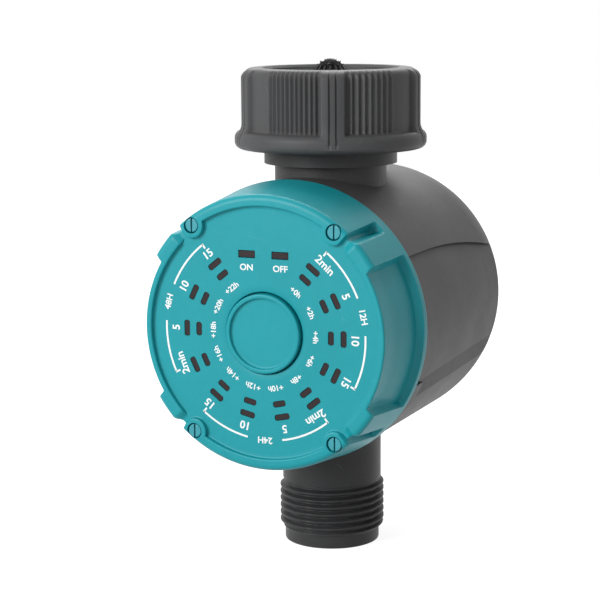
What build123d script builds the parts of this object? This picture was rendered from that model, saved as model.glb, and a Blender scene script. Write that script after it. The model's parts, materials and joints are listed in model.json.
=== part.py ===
from build123d import *

"""Hose-tap drip irrigation timer: round dial front, drum housing and a vertical waterway.

Frame: millimetres, +Z up, the dial faces -Y.  The origin is the centre of the inlet
nut's mouth, on the waterway's axis.  "Depth" is measured backwards from the dial face
and "height" upwards from the dial's axis.
"""

import math
import os

# ---- Driving dimensions -------------------------------------------------------------
# Where the dial stands against the waterway
neck_show = 2.6  # inlet collar down to the top of the drum
face_offset = 40.3  # waterway axis forward to the dial face
outlet_stem_length = 26.1  # bottom of the drum down to the outlet's end

# Clearances
turning_gap = 0.3  # between bodies that move past each other
running_gap = 0.06  # shaft in its own bearing
seating_gap = 0.03  # parts pushed together and left there
seat_gap = 0.08  # valve ball against its seats
blind_hole_gap = 0.2  # screw tip to the end of its hole
overcut = 1.0  # how far a cut runs past the surface

# Front bezel
bezel_depth = 16.8
bezel_overhang = 0.5  # rear edge outside the drum
bezel_taper = 1.7  # front edge inside the rear edge
rim_height = 1.2
rim_width = 3.1
rim_round = 1.5
face_thickness = 2.0
pocket_sink = 2.0
pocket_lip_sink = 1.5
pocket_lip_depth = 1.5
pocket_half_angle = 31.5
pocket_end_depth = 14.8
bezel_wall = 1.8
cavity_step_half_angle = 30
groove_start_angle = 41.5
groove_end_angle = 46.5
groove_sink = 1.3
groove_end_depth = 13.5

# Dial windows
window_positions = 14
outer_window_radius = 20.0
inner_window_radius = 16.86
outer_window_size = (3.7, 1.35)
inner_window_size = (3.1, 1.35)
state_window_size = (4.2, 1.55)
state_window_place = (4.24, 18.43)
window_corner = 0.3
lens_gap = 0.05
lens_sink = 0.15
lens_plate_thickness = 1.2
lens_plate_margin = 2.6

# Start button
button_radius = 9.4
button_rise = 1.15
button_travel = 0.8
button_flange_radius = 10.6
button_flange_thickness = 1.0
button_flange_gap = 0.05
button_round = 0.45
button_dish_radius = 8.3
button_dish_depth = 0.85
button_dish_round = 0.4
button_stem_radius = 2.0
spring_front_radius = 5.4
spring_back_radius = 7.2
spring_wall = 1.2

# Face screws
screw_ring_inset = 3.3  # drum's outside in to the screws' axes
screw_angle = 36.2  # from the vertical
screw_head_radius = 1.65
screw_head_thickness = 1.8
screw_head_sink = 0.3
screw_shank_radius = 1.25
screw_ring_gap = 0.27
screw_reach = 27.0
screw_slot_size = (0.6, 0.9)
screw_post_radius = 2.2
screw_boss_radius = 3.0
drum_boss_radius = 2.6
drum_boss_length = 2.0  # past the screws' tips

# Circuit board and what stands on it
board_edge_gap = 1.2
board_depth = 8.0
board_thickness = 1.6
board_screw_inset = 2.4
board_screw_shank = 0.9
board_screw_bite = 4.0
led_size = (2.6, 1.1, 1.2)
switch_side = 6.2
switch_height = 3.4
plunger_radius = 1.7
plunger_seat = 0.2
chip_place = (-15.0, -8.0)
chip_size = (8.0, 1.4)
chip_chamfer = 0.2
capacitor_place = (-19.0, 8.0)
capacitor_radius = 4.0
capacitor_length = 8.0
capacitor_round = 0.6

# Drum housing and its rear cap
drum_radius = 33.8
drum_wall = 2.2
gasket_thickness = 0.6
gasket_edge_inset = 0.5
gasket_inner_gap = 0.2
gasket_eye_width = 1.6
cap_depth = 67.0
cap_length = 17.3
rear_flat_radius = 25.5
panel_sink = 0.9
panel_top = 17.2
panel_bend_depth = 30.0  # where the upper edge starts to curve down
panel_rear_top = 10.6
panel_bottom = -13.8
panel_rise = 0.044  # climb of the lower edge for each millimetre of depth
panel_foot_depth = 23.0
panel_foot_height = 3.8
panel_foot_sink = 1.3
panel_foot_flare = 2.0
collar_wall = 2.6
collar_height = 26.0

# Waterway
neck_radius = 13.9
collar_radius = 16.5
collar_length = 3.3
tube_bore_radius = 9.5
spigot_radius = 10.0
body_top_height = 22.0
body_bottom_height = -22.0
outlet_radius = 12.5
outlet_bore_radius = 9.5

# Outlet thread, G 3/4 with rounded crests, one ridge for each turn
outlet_crest_radius = 13.22
outlet_root_radius = 12.06
outlet_root_half_width = 0.15
outlet_crest_round = 0.4
outlet_crest_gap = 0.01  # keeps each crest's arc under a half circle
outlet_pitch = 1.814
outlet_turns = 7
pilot_radius = 11.96
pilot_length = 3.0

# Seals: square-cut rings in grooves
seal_depth = 1.3
seal_width = 2.0
seal_side_gap = 0.05
seal_corner = 0.3
neck_seal_height = 28.4
joint_seal_height = 16.0
outlet_seal_thickness = 1.5
outlet_seal_round = 0.5

# Valve
ball_radius = 9.0
ball_bore_radius = 5.5
seat_inner_radius = 6.0
seat_height = 10.0
seat_thickness = 5.2
stem_radius = 2.4
stem_flat_offset = 12.6
stem_shoulder_radius = 3.4
stem_shoulder_thickness = 1.0
stem_shoulder_offset = 10.4
stem_key_width = 2.4
stem_key_length = 6.2
stem_key_inner = 6.6
stem_key_gap = 0.1
stem_key_flat = 1.7
stem_flat_length = 5.6
stem_front_depth = 14.6
stem_seal_offset = 12.2
stem_seal_width = 1.6
stem_seal_depth = 0.6
stem_seal_corner = 0.2
gland_radius = 4.6
gland_flange_radius = 5.8
gland_flange_thickness = 2.0
flat_half_height = 15.0

# Gear train, all on axes parallel to the dial's axis
gear_module = 0.5
pinion_teeth = 12
wheel_teeth = 31
output_teeth = 35
tooth_backlash = 0.06
addendum = 0.8
dedendum = 1.25
pressure_angle = 20.0
front_gear_depth = 17.0
rear_gear_depth = 20.7
gear_width = 2.8
gear_recess_outer = 7.2
gear_recess_inner = 4.0
gear_recess_depth = 0.7
gear_axle_radius = 1.0
gearbox_front_depth = 12.8
gearbox_rear_depth = 25.4
gearbox_wall = 1.4
gearbox_half_height = 12.2
gearbox_left = -12.6
gearbox_right = 27.6
gearbox_leg_radius = 2.2
gearbox_screw_height = 9.0
gearbox_screw_shank = 0.9
gearbox_screw_bite = 2.0
cover_screw_bite = 4.0
gearbox_corner = 6.0
gearbox_post_radius = 2.0
gearbox_post_inset = (4.4, 2.6)
small_head_radius = 1.6
small_head_thickness = 1.1
small_cross_size = (2.2, 0.5)
small_cross_depth = 0.5
motor_radius = 7.0
motor_length = 16.0
motor_round = 0.8
motor_boss_radius = 2.6
motor_boss_height = 1.2
motor_shaft_radius = 0.75
motor_shaft_bearing = 4.5
motor_screw_height = 5.4
cam_radius = 6.0
cam_depth = 15.2
cam_thickness = 1.4
cam_notch_radius = 0.9
cam_notch_angles = (0, 270)
position_switch_size = (4.6, 5.0)

# Inlet nut and what sits in it
nut_length = 19.8
nut_radius = 21.5
nut_lobe_radius = 22.7
nut_flange_radius = 23.8
nut_flange_height = 3.6
nut_flange_round = 0.9
nut_flange_fillet = 1.4
nut_web = 3.0
nut_minor_radius = 15.15
nut_lobes = 5
nut_facing_angle = 24.2
nut_lobe_half_angle = 7.5
nut_rib_pitch_angle = 4.4
nut_rib_radius = 0.55
nut_groove_angle = 2.05
nut_groove_radius = 0.35
nut_fluted_spans = [(-19, 16), (32, 67), (125, 160), (176, 232), (248, 283)]
nut_top_round = 1.6
tube_top_drop = 12.3
tube_neck_radius = 13.0
ring_thickness = 1.0
ring_radius = 14.6
ring_groove_radius = 12.3
ring_split = 3.0
washer_thickness = 2.5
washer_inner_radius = 9.8
washer_outer_radius = 14.7
filter_rim_thickness = 1.0
filter_base_radius = 10.6
filter_wall = 0.8
filter_tip_radius = 3.3
filter_tip_rise = 2.5
filter_dome_rise = 1.0
filter_fin_middle = 6.5
filter_fins = 16
filter_fin_height = 0.5
filter_fin_width = 0.6

# Batteries, AA size, lying across the back
cell_radius = 7.25
cell_length = 50.5
cell_nub_radius = 2.75
cell_nub_length = 1.0
cell_nub_seat = 0.2
cell_round = 0.5
cell_setback = 4.0  # cap's edge forward to the cells' axes
cell_height = 7.6
contact_thickness = 0.4
contact_radius = 4.8
battery_spring_length = 3.1
battery_spring_radius = 3.6
battery_spring_wire = 1.0
tray_wall = 1.2
tray_half_height = 12.6
tray_rib_half_height = 14.0
tray_rib_place = 12.0
tray_rear_reach = 8.0  # cells' axes back to the tray's ears
tray_ear_inner = 20.0
tray_ear_half_height = 3.0
cap_screw_x = 23.0
cap_screw_shank = 1.1
cap_screw_bite = 6.0
cap_post_radius = 2.5
cap_tongue_length = 3.0
cap_tongue_thickness = 1.4
cap_tongue_half_angle = 58.0
cap_tongue_seat = 0.4
cap_seal_width = 0.5
cap_seal_thickness = 1.0

# ---- Places worked out from those ---------------------------------------------------
bezel_rear_radius = drum_radius + bezel_overhang
bezel_front_radius = bezel_rear_radius - bezel_taper
rim_inner_radius = bezel_front_radius - rim_width
pocket_floor_radius = bezel_front_radius - pocket_sink
pocket_lip_radius = bezel_front_radius - pocket_lip_sink
groove_floor_radius = bezel_front_radius - groove_sink
panel_floor_radius = drum_radius - panel_sink
panel_root_radius = drum_radius - panel_foot_sink
outlet_reach = drum_radius + outlet_stem_length
dial_z = -(nut_length + turning_gap + collar_length + neck_show + drum_radius)
dial_axis = Axis((0, 0, dial_z), (0, 1, 0))
drum_inner_radius = drum_radius - drum_wall
drum_front_depth = bezel_depth + gasket_thickness
window_step = 360 / window_positions
window_angles = [window_step * (n + 1.5) for n in range(window_positions - 2)]
cavity_radius = pocket_floor_radius - bezel_wall
screw_ring_radius = drum_radius - screw_ring_inset
screw_x = screw_ring_radius * math.sin(math.radians(screw_angle))
screw_y = screw_ring_radius * math.cos(math.radians(screw_angle))
screw_places = [(screw_x, screw_y), (-screw_x, screw_y), (-screw_x, -screw_y), (screw_x, -screw_y)]
button_hole_radius = button_radius + turning_gap
board_radius = cavity_radius - board_edge_gap
board_screw_radius = board_radius - board_screw_inset
board_front = board_depth
board_back = board_depth + board_thickness
collar_top_z = -nut_length - turning_gap
collar_bottom_z = collar_top_z - collar_length
tube_top_z = -tube_top_drop
washer_top_z = tube_top_z + washer_thickness
idler_x = gear_module * (output_teeth + pinion_teeth) / 2
motor_x = idler_x + gear_module * (wheel_teeth + pinion_teeth) / 2
ring_top_z = -nut_length + nut_web + turning_gap + ring_thickness
stem_shoulder_depth = face_offset - stem_shoulder_offset
stem_key_end_depth = face_offset - stem_key_inner - stem_key_gap
stem_groove_depth = face_offset - stem_seal_offset
gland_front_depth = face_offset - stem_flat_offset - gland_flange_thickness
rear_depth = cap_depth + cap_length
cell_depth = cap_depth - cell_setback
tray_rear_depth = cell_depth + tray_rear_reach
tray_end = cell_length / 2 + (battery_spring_length + 2 * contact_thickness) / 2
tray_front_depth = cell_depth - cell_radius - turning_gap - tray_wall
case_floor_depth = gearbox_rear_depth - gearbox_wall
cover_back_depth = gearbox_front_depth + gearbox_wall
stem_flat_depth = face_offset - stem_flat_offset
gearbox_middle = (gearbox_left + gearbox_right) / 2
gearbox_width = gearbox_right - gearbox_left
gearbox_posts = [
    (x, side * (gearbox_half_height - gearbox_post_inset[1]))
    for x in (gearbox_left + gearbox_post_inset[0], gearbox_right - gearbox_post_inset[0])
    for side in (-1, 1)
]
body_screw_places = [(0, side * gearbox_screw_height) for side in (-1, 1)]
motor_screw_places = [(motor_x, side * motor_screw_height) for side in (-1, 1)]
cap_screw_places = [(cap_screw_x, 0), (-cap_screw_x, 0)]
state_window_places = [(side * state_window_place[0], state_window_place[1]) for side in (-1, 1)]

os.makedirs("parts", exist_ok=True)


# ---- Shared helpers -----------------------------------------------------------------
def dial_plane(depth):
    """Plane parallel to the dial face: x to the right, y up, normal to the front."""
    origin = (0, depth - face_offset, dial_z)
    return Plane(origin=origin, x_dir=(1, 0, 0), z_dir=(0, -1, 0))


def meridian_plane():
    """Half plane through the dial's axis: x is depth, y is radius."""
    origin = (0, -face_offset, dial_z)
    return Plane(origin=origin, x_dir=(0, 1, 0), z_dir=(1, 0, 0))


def on_dial(radius, angle):
    """Point at an angle from the top, clockwise as the dial is read."""
    turn = math.radians(angle)
    return (radius * math.sin(turn), radius * math.cos(turn))


def sector(inner, outer, start, end):
    """Ring sector between two angles from the top, clockwise."""
    with BuildSketch() as area:
        with BuildLine():
            CenterArc((0, 0), outer, 90 - end, end - start)
            CenterArc((0, 0), inner, 90 - end, end - start)
            Line(on_dial(inner, start), on_dial(outer, start))
            Line(on_dial(inner, end), on_dial(outer, end))
        make_face()
    return area.sketch


def window_outlines(shrink):
    """All dial windows, each edge moved in by a gap."""
    with BuildSketch() as openings:
        for angle in window_angles:
            for radius, size in (
                (outer_window_radius, outer_window_size),
                (inner_window_radius, inner_window_size),
            ):
                with Locations(Location((*on_dial(radius, angle), 0), (0, 0, -angle))):
                    RectangleRounded(size[0] - 2 * shrink, size[1] - 2 * shrink, window_corner)
        with Locations(*state_window_places):
            RectangleRounded(
                state_window_size[0] - 2 * shrink, state_window_size[1] - 2 * shrink, window_corner
            )
    return openings.sketch


def gear_outline(teeth, phase):
    """Involute spur gear outline with one tooth centred at the phase angle."""
    pitch_radius = gear_module * teeth / 2
    base_radius = pitch_radius * math.cos(math.radians(pressure_angle))
    tip_radius = pitch_radius + addendum * gear_module
    root_radius = pitch_radius - dedendum * gear_module
    half_tooth = math.pi / (2 * teeth) - tooth_backlash / pitch_radius
    pitch_roll = math.tan(math.radians(pressure_angle)) - math.radians(pressure_angle)

    def flank_angle(radius):
        if radius <= base_radius:
            return half_tooth + pitch_roll
        slope = math.acos(base_radius / radius)
        return half_tooth + pitch_roll - (math.tan(slope) - slope)

    def place(radius, angle):
        return (radius * math.cos(angle), radius * math.sin(angle))

    flank_start = max(base_radius, root_radius)
    flank_middle = (flank_start + tip_radius) / 2
    with BuildSketch() as outline:
        with BuildLine():
            for n in range(teeth):
                centre = math.radians(phase) + 2 * math.pi * n / teeth
                following = centre + 2 * math.pi / teeth
                flank = (flank_start, flank_middle, tip_radius)
                rise = [place(r, centre - flank_angle(r)) for r in flank]
                fall = [place(r, centre + flank_angle(r)) for r in flank[::-1]]
                ThreePointArc(*rise)
                Line(rise[2], fall[0])
                ThreePointArc(*fall)
                next_rise = place(flank_start, following - flank_angle(flank_start))
                if root_radius < base_radius:
                    root_out = place(root_radius, centre + flank_angle(root_radius))
                    root_in = place(root_radius, following - flank_angle(root_radius))
                    Polyline(fall[2], root_out, root_in, next_rise)
                else:
                    Line(fall[2], next_rise)
        make_face()
    return outline.sketch


def stem_section(clearance):
    """D-shaped section of the valve stem's front end, with a clearance all round."""
    with BuildSketch() as section:
        Circle(stem_radius + clearance)
        with Locations((0, stem_key_flat + clearance)):
            Rectangle(3 * stem_radius, stem_radius, align=(Align.CENTER, Align.MIN), mode=Mode.SUBTRACT)
    return section.sketch


def cross_recess(places):
    """Cross-shaped screwdriver recess at every place."""
    with BuildSketch() as recess:
        with Locations(*places):
            Rectangle(small_cross_size[0], small_cross_size[1])
            Rectangle(small_cross_size[1], small_cross_size[0])
    return recess.sketch


def nut_plane(height):
    """Horizontal plane whose angles run from the front towards the right."""
    return Plane(origin=(0, 0, height), x_dir=(1, 0, 0), z_dir=(0, 0, -1))


def finish(piece, name):
    """Label a finished piece and write it to its own STEP file."""
    piece.part.label = name
    export_step(piece.part, f"parts/{name}.step")


# ---- Front bezel: dished face, raised rim, side pockets and four grooves ------------
with BuildPart() as front_bezel:
    with BuildSketch(meridian_plane()):
        with BuildLine():
            Polyline(
                (face_thickness, 0),
                (0, 0),
                (0, rim_inner_radius),
                (-rim_height, rim_inner_radius),
                (-rim_height, bezel_front_radius - rim_round),
            )
            shoulder = Line(
                (-rim_height + rim_round, bezel_front_radius), (bezel_depth, bezel_rear_radius)
            )
            RadiusArc((-rim_height, bezel_front_radius - rim_round), shoulder @ 0, rim_round)
            Polyline(shoulder @ 1, (bezel_depth, 0), (face_thickness, 0))
        make_face()
    revolve(axis=dial_axis)
    # Hollow back, wider above and below than behind the side pockets
    with BuildSketch(dial_plane(face_thickness)):
        Circle(cavity_radius)
        for middle in (0, 180):
            low, high = middle - cavity_step_half_angle, middle + cavity_step_half_angle
            add(sector(cavity_radius - overcut, bezel_front_radius - bezel_wall, low, high))
    extrude(amount=-bezel_depth, mode=Mode.SUBTRACT)
    # Screw posts inside and the small bosses around the screw heads
    with BuildSketch(dial_plane(face_thickness)):
        with Locations(*screw_places):
            Circle(screw_post_radius)
    extrude(amount=-(bezel_depth - face_thickness))
    with BuildSketch(dial_plane(0)):
        with Locations(*screw_places):
            Circle(screw_boss_radius)
        Circle(bezel_front_radius - rim_round, mode=Mode.INTERSECT)
    extrude(amount=rim_height)
    # Grooves beside the screws and pockets at the sides
    for quarter in (0, 90, 180, 270):
        low, high = groove_start_angle, groove_end_angle
        if quarter in (90, 270):
            low, high = 90 - groove_end_angle, 90 - groove_start_angle
        with BuildSketch(dial_plane(0)):
            add(
                sector(
                    rim_inner_radius - overcut, bezel_rear_radius + overcut, quarter + low, quarter + high
                )
            )
        extrude(amount=2 * rim_height, mode=Mode.SUBTRACT)
        with BuildSketch(dial_plane(0)):
            add(sector(groove_floor_radius, bezel_rear_radius + overcut, quarter + low, quarter + high))
        extrude(amount=-groove_end_depth, mode=Mode.SUBTRACT)
    for middle in (90, 270):
        low, high = middle - pocket_half_angle, middle + pocket_half_angle
        with BuildSketch(dial_plane(-2 * rim_height)):
            add(sector(pocket_lip_radius, bezel_rear_radius + overcut, low, high))
        extrude(amount=-(2 * rim_height + pocket_end_depth), mode=Mode.SUBTRACT)
        with BuildSketch(dial_plane(pocket_lip_depth)):
            add(sector(pocket_floor_radius, bezel_rear_radius + overcut, low, high))
        extrude(amount=-(pocket_end_depth - pocket_lip_depth), mode=Mode.SUBTRACT)
    # Button hole, dial windows and screw holes
    with BuildSketch(dial_plane(0)):
        Circle(button_hole_radius)
        add(window_outlines(0))
    extrude(amount=-face_thickness, mode=Mode.SUBTRACT)
    with BuildSketch(dial_plane(-rim_height)):
        with Locations(*screw_places):
            Circle(screw_head_radius + screw_ring_gap)
    extrude(amount=-(screw_head_sink + screw_head_thickness), mode=Mode.SUBTRACT)
    with BuildSketch(dial_plane(-rim_height)):
        with Locations(*screw_places):
            Circle(screw_shank_radius + seating_gap)
    extrude(amount=-(rim_height + bezel_depth), mode=Mode.SUBTRACT)
    # Posts that carry the circuit board
    with BuildSketch(dial_plane(face_thickness)):
        with PolarLocations(board_screw_radius, 4):
            Circle(screw_post_radius)
        with PolarLocations(board_screw_radius, 4):
            Circle(board_screw_shank + seating_gap, mode=Mode.SUBTRACT)
    extrude(amount=-(board_front - face_thickness))
finish(front_bezel, "front_bezel")

# ---- Smoked lenses: one plate with a lens standing in every window ------------------
with BuildPart() as window_lenses:
    with BuildSketch(dial_plane(face_thickness)):
        Circle(outer_window_radius + lens_plate_margin)
        Circle(inner_window_radius - lens_plate_margin, mode=Mode.SUBTRACT)
    extrude(amount=-lens_plate_thickness)
    with BuildSketch(dial_plane(face_thickness)):
        add(window_outlines(lens_gap))
    extrude(amount=face_thickness - lens_sink)
finish(window_lenses, "window_lenses")

# ---- Start button: dished cap, retaining flange and stem ----------------------------
button_flange_depth = face_thickness + button_flange_gap
plunger_front_depth = board_front - switch_height - button_travel
with BuildPart() as start_button:
    with BuildSketch(dial_plane(-button_rise)):
        Circle(button_radius)
    extrude(amount=-(button_rise + button_flange_depth))
    fillet(start_button.faces().sort_by(Axis.Y)[0].edges(), radius=button_round)
    with BuildSketch(dial_plane(-button_rise)):
        Circle(button_dish_radius)
    extrude(amount=-button_dish_depth, mode=Mode.SUBTRACT)
    dish_floor = start_button.faces().filter_by(Plane.XZ).sort_by(Axis.Y)[1]
    fillet(dish_floor.edges(), radius=button_dish_round)
    with BuildSketch(dial_plane(button_flange_depth)):
        Circle(button_flange_radius)
    extrude(amount=-button_flange_thickness)
    with BuildSketch(dial_plane(button_flange_depth + button_flange_thickness)):
        Circle(button_stem_radius)
    extrude(amount=-(plunger_front_depth - button_flange_depth - button_flange_thickness))
finish(start_button, "start_button")

# ---- Button spring: silicone cone between the button and the board ------------------
spring_front_depth = button_flange_depth + button_flange_thickness
with BuildPart() as button_spring:
    with BuildSketch(meridian_plane()):
        Polygon(
            (spring_front_depth, spring_front_radius),
            (board_front, spring_back_radius),
            (board_front, spring_back_radius + spring_wall),
            (spring_front_depth, spring_front_radius + spring_wall),
            align=None,
        )
    revolve(axis=dial_axis)
finish(button_spring, "button_spring")

# ---- Circuit board and its parts ----------------------------------------------------
with BuildPart() as circuit_board:
    with BuildSketch(dial_plane(board_front)):
        Circle(board_radius)
        with PolarLocations(board_screw_radius, 4):
            Circle(board_screw_shank + seating_gap, mode=Mode.SUBTRACT)
    extrude(amount=-board_thickness)
finish(circuit_board, "circuit_board")

with BuildPart() as indicator_leds:
    with BuildSketch(dial_plane(board_front)):
        for angle in window_angles:
            for radius in (outer_window_radius, inner_window_radius):
                with Locations(Location((*on_dial(radius, angle), 0), (0, 0, -angle))):
                    Rectangle(led_size[0], led_size[1])
        with Locations(*state_window_places):
            Rectangle(led_size[0], led_size[1])
    extrude(amount=led_size[2])
finish(indicator_leds, "indicator_leds")

with BuildPart() as tact_switch:
    with BuildSketch(dial_plane(board_front)):
        Rectangle(switch_side, switch_side)
    extrude(amount=switch_height)
    with BuildSketch(dial_plane(board_front - switch_height)):
        Circle(plunger_radius + running_gap)
    extrude(amount=-(button_travel + turning_gap), mode=Mode.SUBTRACT)
finish(tact_switch, "tact_switch")

with BuildPart() as switch_plunger:
    with BuildSketch(dial_plane(plunger_front_depth)):
        Circle(plunger_radius)
    extrude(amount=-button_travel - plunger_seat)
finish(switch_plunger, "switch_plunger")

with BuildPart() as control_chip:
    with BuildSketch(dial_plane(board_back)):
        with Locations(chip_place):
            Rectangle(chip_size[0], chip_size[0])
    extrude(amount=-chip_size[1])
    chamfer(control_chip.faces().sort_by(Axis.Y)[-1].edges(), length=chip_chamfer)
finish(control_chip, "control_chip")

with BuildPart() as storage_capacitor:
    with BuildSketch(dial_plane(board_back)):
        with Locations(capacitor_place):
            Circle(capacitor_radius)
    extrude(amount=-capacitor_length)
    fillet(storage_capacitor.faces().sort_by(Axis.Y)[-1].edges(), radius=capacitor_round)
finish(storage_capacitor, "storage_capacitor")

with BuildPart() as board_screws:
    with BuildSketch(dial_plane(board_back)):
        with PolarLocations(board_screw_radius, 4):
            Circle(small_head_radius)
    extrude(amount=-small_head_thickness)
    with BuildSketch(dial_plane(board_back)):
        with PolarLocations(board_screw_radius, 4):
            Circle(board_screw_shank)
    extrude(amount=board_thickness + board_screw_bite)
    with BuildSketch(dial_plane(board_back + small_head_thickness)):
        add(cross_recess([on_dial(board_screw_radius, angle) for angle in (0, 90, 180, 270)]))
    extrude(amount=small_cross_depth, mode=Mode.SUBTRACT)
finish(board_screws, "board_screws")

# ---- Face screws: slotted heads with the slot upright -------------------------------
screw_front_depth = -rim_height + screw_head_sink
with BuildPart() as face_screws:
    with BuildSketch(dial_plane(screw_front_depth)):
        with Locations(*screw_places):
            Circle(screw_head_radius)
    extrude(amount=-screw_head_thickness)
    with BuildSketch(dial_plane(screw_front_depth)):
        with Locations(*screw_places):
            Circle(screw_shank_radius)
    extrude(amount=-(screw_reach - screw_front_depth))
    with BuildSketch(dial_plane(screw_front_depth)):
        with Locations(*screw_places):
            Rectangle(screw_slot_size[0], 2 * screw_head_radius)
    extrude(amount=-screw_slot_size[1], mode=Mode.SUBTRACT)
finish(face_screws, "face_screws")

# ---- Drum housing -------------------------------------------------------------------
with BuildPart() as bezel_gasket:
    with BuildSketch(dial_plane(bezel_depth)):
        Circle(drum_radius - gasket_edge_inset)
        Circle(drum_inner_radius + gasket_inner_gap, mode=Mode.SUBTRACT)
        with Locations(*screw_places):
            Circle(screw_shank_radius + gasket_eye_width)
            Circle(screw_shank_radius + seating_gap, mode=Mode.SUBTRACT)
    extrude(amount=-gasket_thickness)
finish(bezel_gasket, "bezel_gasket")

# The recessed side panels and the ledge under each, cut from drum and cap alike
def panel_low(depth):
    """Height of a panel's lower edge."""
    return panel_bottom + panel_rise * (depth - bezel_depth)


def panel_foot(depth):
    """Section of the wedge that is cut away under the right-hand panel."""
    top = panel_low(depth)
    low = top - panel_foot_height
    root = (math.sqrt(panel_root_radius**2 - top**2), top)
    edge = (math.sqrt(drum_radius**2 - low**2), low)
    beyond = (2 * edge[0] - root[0], 2 * edge[1] - root[1])
    outside = drum_radius + overcut
    with BuildSketch(dial_plane(depth)) as section:
        Polygon(root, beyond, (outside, beyond[1]), (outside, top + panel_foot_flare), align=None)
    return section.sketch


with BuildPart() as panel_cut:
    with BuildSketch(Plane.YZ.offset(-drum_radius - overcut)):
        front, bend, rear = (
            depth - face_offset for depth in (bezel_depth, panel_bend_depth, rear_depth)
        )
        with BuildLine():
            level = Line((front, dial_z + panel_top), (bend, dial_z + panel_top))
            TangentArc(level @ 1, (rear, dial_z + panel_rear_top), tangent=level % 1)
            Polyline(
                (rear, dial_z + panel_rear_top),
                (rear, dial_z + panel_low(rear_depth)),
                (front, dial_z + panel_low(bezel_depth)),
                level @ 0,
            )
        make_face()
    extrude(amount=2 * (drum_radius + overcut))
    with BuildSketch(meridian_plane()):
        with Locations((bezel_depth, panel_floor_radius)):
            Rectangle(
                rear_depth - bezel_depth,
                drum_radius + overcut - panel_floor_radius,
                align=(Align.MIN, Align.MIN),
            )
    revolve(axis=dial_axis, mode=Mode.INTERSECT)

with BuildPart() as panel_feet:
    for foot_end in (panel_foot_depth, rear_depth):
        add(panel_foot(foot_end))
    loft(ruled=True)
    mirror(about=Plane.YZ)

with BuildPart() as drum_housing:
    with BuildSketch(dial_plane(drum_front_depth)):
        Circle(drum_radius)
        Circle(drum_inner_radius, mode=Mode.SUBTRACT)
    extrude(amount=-(cap_depth - seating_gap - drum_front_depth))
    # Screw bosses along the wall
    with BuildSketch(dial_plane(drum_front_depth)):
        with Locations(*screw_places):
            Circle(drum_boss_radius)
    extrude(amount=-(screw_reach + drum_boss_length - drum_front_depth))
    # Collars around the neck and the outlet stem
    with BuildSketch(Plane.XY.offset(dial_z + collar_height)):
        Circle(neck_radius + seating_gap + collar_wall)
    extrude(amount=drum_radius - collar_height)
    with BuildSketch(Plane.XY.offset(dial_z - collar_height)):
        Circle(outlet_radius + seating_gap + collar_wall)
    extrude(amount=-(drum_radius - collar_height))
    with BuildSketch(dial_plane(drum_front_depth)):
        Circle(drum_radius)
    extrude(amount=-(cap_depth - seating_gap - drum_front_depth), mode=Mode.INTERSECT)
    with BuildSketch(Plane.XY.offset(dial_z)):
        Circle(neck_radius + seating_gap)
    extrude(amount=drum_radius + overcut, mode=Mode.SUBTRACT)
    with BuildSketch(Plane.XY.offset(dial_z)):
        Circle(outlet_radius + seating_gap)
    extrude(amount=-(drum_radius + overcut), mode=Mode.SUBTRACT)
    with BuildSketch(dial_plane(drum_front_depth)):
        with Locations(*screw_places):
            Circle(screw_shank_radius + seating_gap)
    extrude(amount=-(screw_reach + blind_hole_gap - drum_front_depth), mode=Mode.SUBTRACT)
    add(panel_cut.part, mode=Mode.SUBTRACT)
    add(panel_feet.part, mode=Mode.SUBTRACT)
finish(drum_housing, "drum_housing")

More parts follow.
